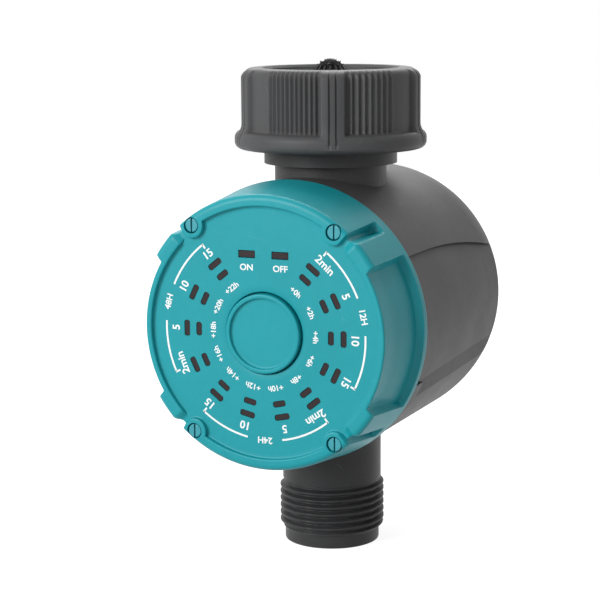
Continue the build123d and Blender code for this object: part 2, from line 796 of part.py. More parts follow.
# ---- Waterway: valve body with the threaded outlet below ----------------------------
thread_bottom_z = dial_z - outlet_reach + pilot_length
thread_top_z = thread_bottom_z + outlet_pitch * outlet_turns
with BuildPart() as valve_body:
    with BuildSketch(Plane.XY.offset(dial_z + body_bottom_height)):
        Circle(neck_radius)
    extrude(amount=body_top_height - body_bottom_height)
    with BuildSketch(Plane.XY.offset(thread_top_z)):
        Circle(outlet_radius)
    extrude(amount=dial_z + body_bottom_height - thread_top_z)
    # Thread as one rounded ridge for each turn
    with BuildSketch(Plane.XZ):
        with BuildLine():
            for n in range(outlet_turns):
                foot_z = thread_bottom_z + n * outlet_pitch
                head_z = foot_z + outlet_pitch
                middle_z = foot_z + outlet_pitch / 2
                flank_radius = outlet_crest_radius - outlet_crest_round
                crest_half = outlet_crest_round + outlet_crest_gap
                ridge_start = Polyline(
                    (outlet_root_radius, foot_z),
                    (outlet_root_radius, foot_z + outlet_root_half_width),
                    (flank_radius, middle_z - crest_half),
                )
                ridge_end = Polyline(
                    (flank_radius, middle_z + crest_half),
                    (outlet_root_radius, head_z - outlet_root_half_width),
                    (outlet_root_radius, head_z),
                )
                ThreePointArc(ridge_start @ 1, (outlet_crest_radius, middle_z), ridge_end @ 0)
            Polyline((outlet_root_radius, thread_top_z), (0, thread_top_z), (0, thread_bottom_z))
            Line((0, thread_bottom_z), (outlet_root_radius, thread_bottom_z))
        make_face()
    revolve(axis=Axis.Z)
    with BuildSketch(Plane.XY.offset(thread_bottom_z)):
        Circle(pilot_radius)
    extrude(amount=-pilot_length)
    # Chamber for the seats and ball, then the way down to the outlet
    with BuildSketch(Plane.XY.offset(dial_z - seat_height)):
        Circle(spigot_radius + seating_gap)
    extrude(amount=body_top_height + seat_height, mode=Mode.SUBTRACT)
    with BuildSketch(Plane.XY.offset(dial_z + body_bottom_height)):
        Circle(seat_inner_radius)
    extrude(amount=-body_bottom_height, mode=Mode.SUBTRACT)
    with BuildSketch(Plane.XY.offset(dial_z - outlet_reach)):
        Circle(outlet_bore_radius)
    extrude(amount=outlet_reach + body_bottom_height, mode=Mode.SUBTRACT)
    # Flat for the gland and the gearbox, the gland's hole and two screw holes
    with BuildSketch(Plane.XZ.offset(stem_flat_offset)):
        with Locations((0, dial_z)):
            Rectangle(2 * neck_radius, 2 * flat_half_height)
    extrude(amount=neck_radius - stem_flat_offset, mode=Mode.SUBTRACT)
    with BuildSketch(Plane.XZ.offset(stem_flat_offset)):
        with Locations((0, dial_z)):
            Circle(gland_radius + seating_gap)
    extrude(amount=-stem_flat_offset, mode=Mode.SUBTRACT)
    with BuildSketch(Plane.XZ.offset(stem_flat_offset)):
        with Locations(*[(0, dial_z + side * gearbox_screw_height) for side in (-1, 1)]):
            Circle(gearbox_screw_shank + seating_gap)
    extrude(amount=-gearbox_screw_bite - blind_hole_gap, mode=Mode.SUBTRACT)
finish(valve_body, "valve_body")

# ---- Inlet tube: spigot, neck, collar and the necked end inside the nut -------------
with BuildPart() as inlet_tube:
    with BuildSketch(Plane.XZ):
        with BuildLine():
            Polyline(
                (tube_bore_radius, tube_top_z),
                (tube_neck_radius, tube_top_z),
                (tube_neck_radius, ring_top_z),
                (ring_groove_radius, ring_top_z),
                (ring_groove_radius, ring_top_z - ring_thickness),
                (tube_neck_radius, ring_top_z - ring_thickness),
                (tube_neck_radius, collar_top_z),
                (collar_radius, collar_top_z),
                (collar_radius, collar_bottom_z),
                (neck_radius, collar_bottom_z),
                (neck_radius, dial_z + neck_seal_height + seal_width / 2),
                (neck_radius - seal_depth, dial_z + neck_seal_height + seal_width / 2),
                (neck_radius - seal_depth, dial_z + neck_seal_height - seal_width / 2),
                (neck_radius, dial_z + neck_seal_height - seal_width / 2),
                (neck_radius, dial_z + body_top_height),
                (spigot_radius, dial_z + body_top_height),
                (spigot_radius, dial_z + joint_seal_height + seal_width / 2),
                (spigot_radius - seal_depth, dial_z + joint_seal_height + seal_width / 2),
                (spigot_radius - seal_depth, dial_z + joint_seal_height - seal_width / 2),
                (spigot_radius, dial_z + joint_seal_height - seal_width / 2),
                (spigot_radius, dial_z + seat_height),
                (seat_inner_radius, dial_z + seat_height),
                (seat_inner_radius, dial_z + body_top_height),
                close=True,
            )
        make_face()
    revolve(axis=Axis.Z)
finish(inlet_tube, "inlet_tube")

# ---- Seals: each fills its groove and meets the bore around it ----------------------
seals = {
    "neck_seal": (neck_radius, dial_z + neck_seal_height),
    "joint_seal": (spigot_radius, dial_z + joint_seal_height),
}
for seal_name, (seal_radius, seal_z) in seals.items():
    with BuildPart() as seal:
        with BuildSketch(Plane.XZ):
            with Locations((seal_radius - (seal_depth - seating_gap) / 2, seal_z)):
                RectangleRounded(seal_depth + seating_gap, seal_width - 2 * seal_side_gap, seal_corner)
        revolve(axis=Axis.Z)
    finish(seal, seal_name)

with BuildPart() as outlet_seal:
    with BuildSketch(Plane.XY.offset(dial_z - collar_height)):
        Circle(outlet_radius + seating_gap + collar_wall)
        Circle(outlet_radius + seating_gap, mode=Mode.SUBTRACT)
    extrude(amount=outlet_seal_thickness)
    fillet(outlet_seal.faces().sort_by(Axis.Z)[-1].edges(), radius=outlet_seal_round)
finish(outlet_seal, "outlet_seal")

# ---- Ball valve: two seats, ball, stem, gland and stem seal -------------------------
for seat_name, side in (("seat_upper", 1), ("seat_lower", -1)):
    with BuildPart() as seat:
        with BuildSketch(Plane.XY.offset(dial_z + side * seat_height)):
            Circle(spigot_radius)
            Circle(seat_inner_radius, mode=Mode.SUBTRACT)
        extrude(amount=-side * seat_thickness)
        with Locations((0, 0, dial_z)):
            Sphere(ball_radius + seat_gap, mode=Mode.SUBTRACT)
    finish(seat, seat_name)

with BuildPart() as valve_ball:
    with Locations((0, 0, dial_z)):
        Sphere(ball_radius)
    with BuildSketch(Plane.YZ.offset(-ball_radius)):
        with Locations((0, dial_z)):
            Circle(ball_bore_radius)
    extrude(amount=2 * ball_radius, mode=Mode.SUBTRACT)
    with BuildSketch(Plane.XZ.offset(stem_key_inner)):
        with Locations((0, dial_z)):
            Rectangle(stem_key_width, 2 * ball_radius)
    extrude(amount=ball_radius, mode=Mode.SUBTRACT)
finish(valve_ball, "valve_ball")

with BuildPart() as valve_stem:
    with BuildSketch(dial_plane(stem_front_depth)):
        add(stem_section(0))
    extrude(amount=-stem_flat_length)
    with BuildSketch(dial_plane(stem_front_depth + stem_flat_length)):
        Circle(stem_radius)
    extrude(amount=-(stem_shoulder_depth - stem_front_depth - stem_flat_length))
    with BuildSketch(dial_plane(stem_shoulder_depth)):
        Circle(stem_shoulder_radius)
    extrude(amount=-stem_shoulder_thickness)
    with BuildSketch(dial_plane(stem_shoulder_depth + stem_shoulder_thickness)):
        Rectangle(stem_key_width - 2 * seating_gap, stem_key_length)
    extrude(amount=-(stem_key_end_depth - stem_shoulder_depth - stem_shoulder_thickness))
    with BuildSketch(meridian_plane()):
        with Locations((stem_groove_depth, stem_radius)):
            Rectangle(stem_seal_width, 2 * stem_seal_depth)
    revolve(axis=dial_axis, mode=Mode.SUBTRACT)
finish(valve_stem, "valve_stem")

stem_seal_height = stem_seal_depth + running_gap
with BuildPart() as stem_seal:
    with BuildSketch(meridian_plane()):
        with Locations((stem_groove_depth, stem_radius - stem_seal_depth + stem_seal_height / 2)):
            RectangleRounded(
                stem_seal_width - 2 * seal_side_gap,
                stem_seal_height - 2 * seating_gap,
                stem_seal_corner,
            )
    revolve(axis=dial_axis)
finish(stem_seal, "stem_seal")

with BuildPart() as stem_gland:
    with BuildSketch(dial_plane(gland_front_depth)):
        RegularPolygon(gland_flange_radius, 6)
        Circle(stem_radius + running_gap, mode=Mode.SUBTRACT)
    extrude(amount=-gland_flange_thickness)
    with BuildSketch(dial_plane(gland_front_depth + gland_flange_thickness)):
        Circle(gland_radius)
        Circle(stem_radius + running_gap, mode=Mode.SUBTRACT)
    extrude(amount=-(stem_shoulder_depth - running_gap - gland_front_depth - gland_flange_thickness))
finish(stem_gland, "stem_gland")

# ---- Gearbox: case on two legs, cover, screws and the idler's axle ------------------
with BuildPart() as gearbox_case:
    with BuildSketch(dial_plane(cover_back_depth)):
        with Locations((gearbox_middle, 0)):
            RectangleRounded(gearbox_width, 2 * gearbox_half_height, gearbox_corner)
    extrude(amount=-(gearbox_rear_depth - cover_back_depth))
    with BuildSketch(dial_plane(cover_back_depth)):
        with Locations((gearbox_middle, 0)):
            RectangleRounded(
                gearbox_width - 2 * gearbox_wall,
                2 * (gearbox_half_height - gearbox_wall),
                gearbox_corner - gearbox_wall,
            )
    extrude(amount=-(case_floor_depth - cover_back_depth), mode=Mode.SUBTRACT)
    with BuildSketch(dial_plane(cover_back_depth)):
        with Locations(*gearbox_posts):
            Circle(gearbox_post_radius)
    extrude(amount=-(gearbox_rear_depth - cover_back_depth))
    with BuildSketch(dial_plane(gearbox_rear_depth)):
        with Locations(*body_screw_places):
            Circle(gearbox_leg_radius)
    extrude(amount=-(stem_flat_depth - gearbox_rear_depth))
    with BuildSketch(dial_plane(cover_back_depth)):
        with Locations(*gearbox_posts):
            Circle(gearbox_screw_shank + seating_gap)
    extrude(amount=-(cover_screw_bite + blind_hole_gap), mode=Mode.SUBTRACT)
    with BuildSketch(dial_plane(case_floor_depth)):
        Circle(stem_radius + running_gap)
        with Locations((idler_x, 0)):
            Circle(gear_axle_radius + seating_gap)
        with Locations((motor_x, 0)):
            Circle(motor_shaft_radius + turning_gap)
        with Locations(*body_screw_places, *motor_screw_places):
            Circle(gearbox_screw_shank + seating_gap)
    extrude(amount=-(stem_flat_depth - case_floor_depth), mode=Mode.SUBTRACT)
finish(gearbox_case, "gearbox_case")

with BuildPart() as gearbox_cover:
    with BuildSketch(dial_plane(gearbox_front_depth)):
        with Locations((gearbox_middle, 0)):
            RectangleRounded(gearbox_width, 2 * gearbox_half_height, gearbox_corner)
        with Locations(*gearbox_posts):
            Circle(gearbox_screw_shank + seating_gap, mode=Mode.SUBTRACT)
        with Locations((idler_x, 0)):
            Circle(gear_axle_radius + seating_gap, mode=Mode.SUBTRACT)
    extrude(amount=-gearbox_wall)
finish(gearbox_cover, "gearbox_cover")

with BuildPart() as cover_screws:
    with BuildSketch(dial_plane(gearbox_front_depth)):
        with Locations(*gearbox_posts):
            Circle(small_head_radius)
    extrude(amount=small_head_thickness)
    with BuildSketch(dial_plane(gearbox_front_depth)):
        with Locations(*gearbox_posts):
            Circle(gearbox_screw_shank)
    extrude(amount=-(gearbox_wall + cover_screw_bite))
    with BuildSketch(dial_plane(gearbox_front_depth - small_head_thickness)):
        add(cross_recess(gearbox_posts))
    extrude(amount=-small_cross_depth, mode=Mode.SUBTRACT)
finish(cover_screws, "cover_screws")

with BuildPart() as gearbox_screws:
    with BuildSketch(dial_plane(case_floor_depth)):
        with Locations(*body_screw_places, *motor_screw_places):
            Circle(small_head_radius)
    extrude(amount=small_head_thickness)
    with BuildSketch(dial_plane(case_floor_depth)):
        with Locations(*body_screw_places):
            Circle(gearbox_screw_shank)
    extrude(amount=-(stem_flat_depth + gearbox_screw_bite - case_floor_depth))
    with BuildSketch(dial_plane(case_floor_depth)):
        with Locations(*motor_screw_places):
            Circle(gearbox_screw_shank)
    extrude(amount=-(gearbox_wall + gearbox_screw_bite))
    with BuildSketch(dial_plane(case_floor_depth - small_head_thickness)):
        add(cross_recess(body_screw_places + motor_screw_places))
    extrude(amount=-small_cross_depth, mode=Mode.SUBTRACT)
finish(gearbox_screws, "gearbox_screws")

with BuildPart() as gear_axle:
    with BuildSketch(dial_plane(gearbox_front_depth)):
        with Locations((idler_x, 0)):
            Circle(gear_axle_radius)
    extrude(amount=-(gearbox_rear_depth - gearbox_front_depth))
finish(gear_axle, "gear_axle")

# ---- Gears: motor pinion, two-step reduction gear and the valve's output gear -------
half_tooth_angle = 180 / pinion_teeth
with BuildPart() as output_gear:
    with BuildSketch(dial_plane(front_gear_depth)):
        add(gear_outline(output_teeth, 0))
        add(stem_section(seating_gap), mode=Mode.SUBTRACT)
    extrude(amount=-gear_width)
    with BuildSketch(dial_plane(front_gear_depth)):
        Circle(gear_recess_outer)
        Circle(gear_recess_inner, mode=Mode.SUBTRACT)
    extrude(amount=-gear_recess_depth, mode=Mode.SUBTRACT)
finish(output_gear, "output_gear")

with BuildPart() as reduction_gear:
    with BuildSketch(dial_plane(front_gear_depth)):
        with Locations((idler_x, 0)):
            add(gear_outline(pinion_teeth, half_tooth_angle))
    extrude(amount=-(rear_gear_depth - front_gear_depth))
    with BuildSketch(dial_plane(rear_gear_depth)):
        with Locations((idler_x, 0)):
            add(gear_outline(wheel_teeth, 0))
    extrude(amount=-gear_width)
    with BuildSketch(dial_plane(front_gear_depth)):
        with Locations((idler_x, 0)):
            Circle(gear_axle_radius + running_gap)
    extrude(amount=-(rear_gear_depth + gear_width - front_gear_depth), mode=Mode.SUBTRACT)
finish(reduction_gear, "reduction_gear")

with BuildPart() as motor_pinion:
    with BuildSketch(dial_plane(rear_gear_depth)):
        with Locations((motor_x, 0)):
            add(gear_outline(pinion_teeth, half_tooth_angle))
            Circle(motor_shaft_radius + seating_gap, mode=Mode.SUBTRACT)
    extrude(amount=-gear_width)
finish(motor_pinion, "motor_pinion")

# ---- Motor --------------------------------------------------------------------------
with BuildPart() as motor_shaft:
    with BuildSketch(dial_plane(rear_gear_depth)):
        with Locations((motor_x, 0)):
            Circle(motor_shaft_radius)
    extrude(amount=-(gearbox_rear_depth + motor_shaft_bearing - rear_gear_depth))
finish(motor_shaft, "motor_shaft")

with BuildPart() as drive_motor:
    with BuildSketch(dial_plane(gearbox_rear_depth)):
        with Locations((motor_x, 0)):
            Circle(motor_radius)
    extrude(amount=-motor_length)
    fillet(drive_motor.faces().sort_by(Axis.Y)[-1].edges(), radius=motor_round)
    with BuildSketch(dial_plane(gearbox_rear_depth + motor_length)):
        with Locations((motor_x, 0)):
            Circle(motor_boss_radius)
    extrude(amount=-motor_boss_height)
    with BuildSketch(dial_plane(gearbox_rear_depth)):
        with Locations((motor_x, 0)):
            Circle(motor_shaft_radius + running_gap)
    extrude(amount=-(motor_shaft_bearing + blind_hole_gap), mode=Mode.SUBTRACT)
    with BuildSketch(dial_plane(gearbox_rear_depth)):
        with Locations(*motor_screw_places):
            Circle(gearbox_screw_shank + seating_gap)
    extrude(amount=-(gearbox_screw_bite + blind_hole_gap), mode=Mode.SUBTRACT)
finish(drive_motor, "drive_motor")

# ---- Position cam on the stem and the switch it works -------------------------------
with BuildPart() as position_cam:
    with BuildSketch(dial_plane(cam_depth)):
        Circle(cam_radius)
        with Locations(*[on_dial(cam_radius, angle) for angle in cam_notch_angles]):
            Circle(cam_notch_radius, mode=Mode.SUBTRACT)
        add(stem_section(seating_gap), mode=Mode.SUBTRACT)
    extrude(amount=-cam_thickness)
finish(position_cam, "position_cam")

with BuildPart() as position_switch:
    with BuildSketch(dial_plane(cover_back_depth)):
        with Locations((-cam_radius - turning_gap - position_switch_size[0] / 2, 0)):
            Rectangle(position_switch_size[0], position_switch_size[1])
    extrude(amount=-(cam_depth + cam_thickness - cover_back_depth))
finish(position_switch, "position_switch")

# ---- Swivel nut: lobes, flutes and a flange at the foot -----------------------------
nut_lobe_angles = [nut_facing_angle + 360 / nut_lobes * n for n in range(nut_lobes)]
with BuildPart() as inlet_nut:
    with BuildSketch(nut_plane(0)):
        Circle(nut_radius)
        for angle in nut_lobe_angles:
            low, high = angle - nut_lobe_half_angle, angle + nut_lobe_half_angle
            add(sector(nut_radius - overcut, nut_lobe_radius, low, high))
        for start, end in nut_fluted_spans:
            rib_count = round((end - start) / nut_rib_pitch_angle)
            for n in range(rib_count + 1):
                with Locations(on_dial(nut_radius, start + (end - start) * n / rib_count)):
                    Circle(nut_rib_radius)
        # Two fine grooves leave a narrow rib down the middle of every lobe
        for angle in nut_lobe_angles:
            for side in (-1, 1):
                with Locations(on_dial(nut_lobe_radius, angle + side * nut_groove_angle)):
                    Circle(nut_groove_radius, mode=Mode.SUBTRACT)
    extrude(amount=nut_length)
    with BuildSketch(Plane.XZ):
        with BuildLine():
            Polyline(
                (0, -nut_length), (nut_lobe_radius, -nut_length), (nut_lobe_radius, -nut_top_round)
            )
            RadiusArc(
                (nut_lobe_radius, -nut_top_round), (nut_lobe_radius - nut_top_round, 0), -nut_top_round
            )
            Polyline((nut_lobe_radius - nut_top_round, 0), (0, 0), (0, -nut_length))
        make_face()
    revolve(axis=Axis.Z, mode=Mode.INTERSECT)
    flange_top_z = -nut_length + nut_flange_height
    with BuildSketch(Plane.XZ):
        with BuildLine():
            Polyline(
                (0, -nut_length),
                (nut_flange_radius - nut_flange_round, -nut_length),
            )
            RadiusArc(
                (nut_flange_radius - nut_flange_round, -nut_length),
                (nut_flange_radius, -nut_length + nut_flange_round),
                -nut_flange_round,
            )
            Line(
                (nut_flange_radius, -nut_length + nut_flange_round),
                (nut_flange_radius, flange_top_z - nut_flange_round),
            )
            RadiusArc(
                (nut_flange_radius, flange_top_z - nut_flange_round),
                (nut_flange_radius - nut_flange_round, flange_top_z),
                -nut_flange_round,
            )
            RadiusArc(
                (nut_flange_radius - nut_flange_round, flange_top_z),
                (nut_radius, flange_top_z + nut_flange_fillet),
                nut_flange_radius - nut_flange_round - nut_radius,
            )
            Polyline(
                (nut_radius, flange_top_z + nut_flange_fillet),
                (0, flange_top_z + nut_flange_fillet),
                (0, -nut_length),
            )
        make_face()
    revolve(axis=Axis.Z)
    with BuildSketch(Plane.XY):
        Circle(nut_minor_radius)
    extrude(amount=-(nut_length - nut_web), mode=Mode.SUBTRACT)
    with BuildSketch(Plane.XY):
        Circle(tube_neck_radius + turning_gap)
    extrude(amount=-nut_length, mode=Mode.SUBTRACT)
finish(inlet_nut, "inlet_nut")

# ---- Inside the nut: split ring, washer and cone filter -----------------------------
with BuildPart() as retaining_ring:
    with BuildSketch(Plane.XY.offset(ring_top_z)):
        Circle(ring_radius)
        Circle(ring_groove_radius + seating_gap, mode=Mode.SUBTRACT)
        with Locations((0, ring_radius)):
            Rectangle(ring_split, 2 * (ring_radius - ring_groove_radius + overcut), mode=Mode.SUBTRACT)
    extrude(amount=-ring_thickness)
finish(retaining_ring, "retaining_ring")

with BuildPart() as inlet_washer:
    with BuildSketch(Plane.XY.offset(tube_top_z)):
        Circle(washer_outer_radius)
        Circle(washer_inner_radius, mode=Mode.SUBTRACT)
    extrude(amount=washer_thickness)
finish(inlet_washer, "inlet_washer")

filter_foot_z = washer_top_z + filter_rim_thickness
filter_tip_z = filter_tip_rise - filter_fin_height


def filter_profile(grow):
    """Cone of the filter from its foot to the domed tip, made larger or smaller."""
    with BuildSketch(Plane.XZ) as profile:
        with BuildLine():
            Line((0, filter_foot_z), (filter_base_radius + grow, filter_foot_z))
            dome_edge = (filter_tip_radius + grow, filter_tip_z - filter_dome_rise + grow)
            Line((filter_base_radius + grow, filter_foot_z), dome_edge)
            RadiusArc(
                dome_edge,
                (0, filter_tip_z + grow),
                -(dome_edge[0] ** 2 + filter_dome_rise**2) / (2 * filter_dome_rise),
            )
            Line((0, filter_tip_z + grow), (0, filter_foot_z))
        make_face()
    return profile.sketch


with BuildPart() as filter_ribs:
    with BuildSketch(Plane.XY.offset(filter_foot_z)):
        with PolarLocations(filter_fin_middle, filter_fins):
            Rectangle(filter_base_radius, filter_fin_width)
    extrude(amount=filter_tip_rise - filter_foot_z + overcut)
    add(filter_profile(filter_fin_height))
    revolve(axis=Axis.Z, mode=Mode.INTERSECT)

with BuildPart() as inlet_filter:
    with BuildSketch(Plane.XY.offset(washer_top_z)):
        Circle(washer_outer_radius)
    extrude(amount=filter_rim_thickness)
    add(filter_profile(0))
    revolve(axis=Axis.Z)
    add(filter_ribs.part)
    add(filter_profile(-filter_wall))
    revolve(axis=Axis.Z, mode=Mode.SUBTRACT)
    with BuildSketch(Plane.XY.offset(washer_top_z)):
        Circle(filter_base_radius - filter_wall)
    extrude(amount=filter_rim_thickness, mode=Mode.SUBTRACT)
finish(inlet_filter, "inlet_filter")

# ---- Rear cap, which draws the batteries out with it --------------------------------
with BuildPart() as battery_cap:
    with BuildSketch(meridian_plane()):
        with BuildLine():
            Polyline(
                (rear_depth, rear_flat_radius),
                (rear_depth, 0),
                (cap_depth, 0),
                (cap_depth, drum_radius),
            )
            EllipticalCenterArc(
                (cap_depth, rear_flat_radius), cap_length, drum_radius - rear_flat_radius, arc_size=90
            )
        make_face()
    revolve(axis=dial_axis)
    add(panel_cut.part, mode=Mode.SUBTRACT)
    add(panel_feet.part, mode=Mode.SUBTRACT)
    with BuildSketch(meridian_plane()):
        with BuildLine():
            Polyline(
                (rear_depth - drum_wall, rear_flat_radius),
                (rear_depth - drum_wall, 0),
                (cap_depth, 0),
                (cap_depth, drum_inner_radius),
            )
            EllipticalCenterArc(
                (cap_depth, rear_flat_radius),
                cap_length - drum_wall,
                drum_inner_radius - rear_flat_radius,
                arc_size=90,
            )
        make_face()
    revolve(axis=dial_axis, mode=Mode.SUBTRACT)
    with BuildSketch(dial_plane(cap_depth)):
        Circle(drum_inner_radius + cap_seal_width + seating_gap)
        Circle(drum_inner_radius - overcut, mode=Mode.SUBTRACT)
    extrude(amount=-cap_seal_thickness, mode=Mode.SUBTRACT)
    # Posts for the tray's screws and tongues that guide the cap into the drum
    with BuildSketch(dial_plane(tray_rear_depth)):
        with Locations(*cap_screw_places):
            Circle(cap_post_radius)
    extrude(amount=-(rear_depth - drum_wall / 2 - tray_rear_depth))
    with BuildSketch(dial_plane(tray_rear_depth)):
        with Locations(*cap_screw_places):
            Circle(cap_screw_shank + seating_gap)
    extrude(amount=-(cap_screw_bite + blind_hole_gap), mode=Mode.SUBTRACT)
    with BuildSketch(dial_plane(cap_depth + cap_seal_thickness)):
        for middle in (0, 180):
            add(
                sector(
                    drum_inner_radius - turning_gap - cap_tongue_thickness,
                    drum_inner_radius - turning_gap,
                    middle - cap_tongue_half_angle,
                    middle + cap_tongue_half_angle,
                )
            )
    extrude(amount=cap_tongue_length + cap_seal_thickness)
    with BuildSketch(dial_plane(cap_depth + cap_seal_thickness)):
        for middle in (0, 180):
            add(
                sector(
                    drum_inner_radius - turning_gap - cap_tongue_thickness,
                    drum_inner_radius + cap_tongue_seat,
                    middle - cap_tongue_half_angle,
                    middle + cap_tongue_half_angle,
                )
            )
    extrude(amount=-cap_tongue_length)
finish(battery_cap, "battery_cap")

with BuildPart() as cap_seal:
    with BuildSketch(dial_plane(cap_depth)):
        Circle(drum_inner_radius + cap_seal_width)
        Circle(drum_inner_radius, mode=Mode.SUBTRACT)
    extrude(amount=-cap_seal_thickness)
finish(cap_seal, "cap_seal")

# ---- Battery tray, cells and contacts -----------------------------------------------
with BuildPart() as battery_tray:
    with BuildSketch(dial_plane(tray_front_depth)):
        Rectangle(2 * (tray_end + tray_wall), 2 * tray_half_height)
    extrude(amount=-tray_wall)
    for side in (-1, 1):
        with BuildSketch(dial_plane(tray_front_depth)):
            with Locations((side * (tray_end + tray_wall / 2), 0)):
                Rectangle(tray_wall, 2 * tray_half_height)
        extrude(amount=-(tray_rear_depth - tray_front_depth))
        with BuildSketch(dial_plane(tray_rear_depth - tray_wall)):
            with Locations((side * (tray_ear_inner + tray_end) / 2, 0)):
                Rectangle(tray_end - tray_ear_inner, 2 * tray_ear_half_height)
            with Locations((side * cap_screw_x, 0)):
                Circle(cap_screw_shank + seating_gap, mode=Mode.SUBTRACT)
        extrude(amount=-tray_wall)
        with BuildSketch(dial_plane(tray_front_depth)):
            with Locations((side * tray_rib_place, 0)):
                Rectangle(tray_wall, 2 * tray_rib_half_height)
        extrude(amount=-(cell_depth - tray_front_depth))
    for side in (-1, 1):
        with BuildSketch(Plane.YZ.offset(-tray_end)):
            with Locations((cell_depth - face_offset, dial_z + side * cell_height)):
                Circle(cell_radius + seating_gap)
        extrude(amount=2 * tray_end, mode=Mode.SUBTRACT)
finish(battery_tray, "battery_tray")

with BuildPart() as tray_screws:
    with BuildSketch(dial_plane(tray_rear_depth - tray_wall)):
        with Locations(*cap_screw_places):
            Circle(small_head_radius)
    extrude(amount=small_head_thickness)
    with BuildSketch(dial_plane(tray_rear_depth - tray_wall)):
        with Locations(*cap_screw_places):
            Circle(cap_screw_shank)
    extrude(amount=-(tray_wall + cap_screw_bite))
finish(tray_screws, "tray_screws")

battery_directions = {"battery_cell_upper": 1, "battery_cell_lower": -1}
for cell_name, side in battery_directions.items():
    nub_tip = side * (tray_end - contact_thickness)
    with BuildPart() as battery_cell:
        with BuildSketch(Plane.YZ.offset(nub_tip - side * cell_nub_length)):
            with Locations((cell_depth - face_offset, dial_z + side * cell_height)):
                Circle(cell_radius)
        extrude(amount=-side * (cell_length - cell_nub_length))
        fillet(battery_cell.edges().filter_by(GeomType.CIRCLE), radius=cell_round)
        with BuildSketch(Plane.YZ.offset(nub_tip)):
            with Locations((cell_depth - face_offset, dial_z + side * cell_height)):
                Circle(cell_nub_radius)
        extrude(amount=-side * (cell_nub_length + cell_nub_seat))
    finish(battery_cell, cell_name)

cell_places = [(cell_depth - face_offset, dial_z + side * cell_height) for side in (-1, 1)]
with BuildPart() as battery_contacts:
    for end in (-1, 1):
        with BuildSketch(Plane.YZ.offset(end * (tray_end - contact_thickness))):
            with Locations(*cell_places):
                Circle(contact_radius)
        extrude(amount=end * contact_thickness)
finish(battery_contacts, "battery_contacts")

with BuildPart() as battery_springs:
    for side in (-1, 1):
        with BuildSketch(Plane.YZ.offset(-side * (tray_end - contact_thickness))):
            with Locations((cell_depth - face_offset, dial_z + side * cell_height)):
                Circle(battery_spring_radius)
                Circle(battery_spring_radius - battery_spring_wire, mode=Mode.SUBTRACT)
        extrude(amount=side * battery_spring_length)
finish(battery_springs, "battery_springs")
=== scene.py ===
import json
import logging
import math
from dataclasses import dataclass, field
from enum import Enum
from typing import Callable, Iterable, Sequence

import bpy
import numpy as np
from mathutils import Matrix, Vector


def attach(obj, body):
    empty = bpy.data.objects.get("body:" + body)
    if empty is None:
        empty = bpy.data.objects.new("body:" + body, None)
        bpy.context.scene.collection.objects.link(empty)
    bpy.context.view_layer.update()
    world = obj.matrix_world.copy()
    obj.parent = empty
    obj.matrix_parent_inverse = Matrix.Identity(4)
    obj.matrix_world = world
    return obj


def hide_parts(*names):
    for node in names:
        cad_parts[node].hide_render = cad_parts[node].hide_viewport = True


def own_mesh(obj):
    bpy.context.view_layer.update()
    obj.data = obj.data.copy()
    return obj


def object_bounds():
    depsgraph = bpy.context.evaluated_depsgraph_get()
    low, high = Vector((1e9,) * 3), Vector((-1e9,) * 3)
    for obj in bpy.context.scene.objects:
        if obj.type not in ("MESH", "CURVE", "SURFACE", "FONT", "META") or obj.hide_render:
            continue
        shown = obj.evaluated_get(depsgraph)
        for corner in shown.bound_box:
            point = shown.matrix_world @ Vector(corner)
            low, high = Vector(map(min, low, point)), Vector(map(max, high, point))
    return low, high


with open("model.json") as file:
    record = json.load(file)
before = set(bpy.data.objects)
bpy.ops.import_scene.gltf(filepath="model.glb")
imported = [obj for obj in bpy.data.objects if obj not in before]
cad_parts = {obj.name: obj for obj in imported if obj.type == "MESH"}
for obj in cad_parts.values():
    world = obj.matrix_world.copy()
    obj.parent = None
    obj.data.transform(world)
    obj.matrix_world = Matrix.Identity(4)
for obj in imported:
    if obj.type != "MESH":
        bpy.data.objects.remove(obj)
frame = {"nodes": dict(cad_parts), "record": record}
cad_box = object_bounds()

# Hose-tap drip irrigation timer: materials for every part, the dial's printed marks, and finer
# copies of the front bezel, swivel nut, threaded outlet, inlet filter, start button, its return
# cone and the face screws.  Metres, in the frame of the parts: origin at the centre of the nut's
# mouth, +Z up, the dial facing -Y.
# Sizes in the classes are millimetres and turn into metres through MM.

log = logging.getLogger("timer")
MM = 0.001
DIAL_Z = -59.8
FACE_Y = -40.3


# ---- Operator helpers -----------------------------------------------------------------
def clear_selection() -> None:
    """Leave edit mode and deselect everything."""
    if bpy.context.mode != "OBJECT":
        bpy.ops.object.mode_set(mode="OBJECT")
    bpy.ops.object.select_all(action="DESELECT")


def pick(piece: bpy.types.Object) -> None:
    """Make one piece the only selected and the active one."""
    clear_selection()
    piece.select_set(True)
    bpy.context.view_layer.objects.active = piece


def edit(piece: bpy.types.Object, select: str = "SELECT") -> None:
    """Enter edit mode on one piece with everything, or nothing, selected.

    Args:
        piece: Mesh object to edit.
        select: Action handed to the select-all operator.
    """
    pick(piece)
    bpy.ops.object.mode_set(mode="EDIT")
    bpy.ops.mesh.select_mode(type="VERT")
    bpy.ops.mesh.select_all(action=select)


def select_where(piece: bpy.types.Object, kind: str, test: Callable[[Vector, Vector], bool]) -> None:
    """Enter edit mode with the faces or vertices that pass a test selected.

    Args:
        piece: Mesh object to edit.
        kind: "FACE" or "VERT".
        test: Takes a place and a normal, both in metres and in the row frame.
    """
    edit(piece, "DESELECT")
    bpy.ops.mesh.select_mode(type=kind)
    bpy.ops.object.mode_set(mode="OBJECT")
    mesh = piece.data
    if kind == "FACE":
        for face in mesh.polygons:
            face.select = test(face.center, face.normal)
    else:
        for vertex in mesh.vertices:
            vertex.select = test(vertex.co, vertex.normal)
    bpy.ops.object.mode_set(mode="EDIT")


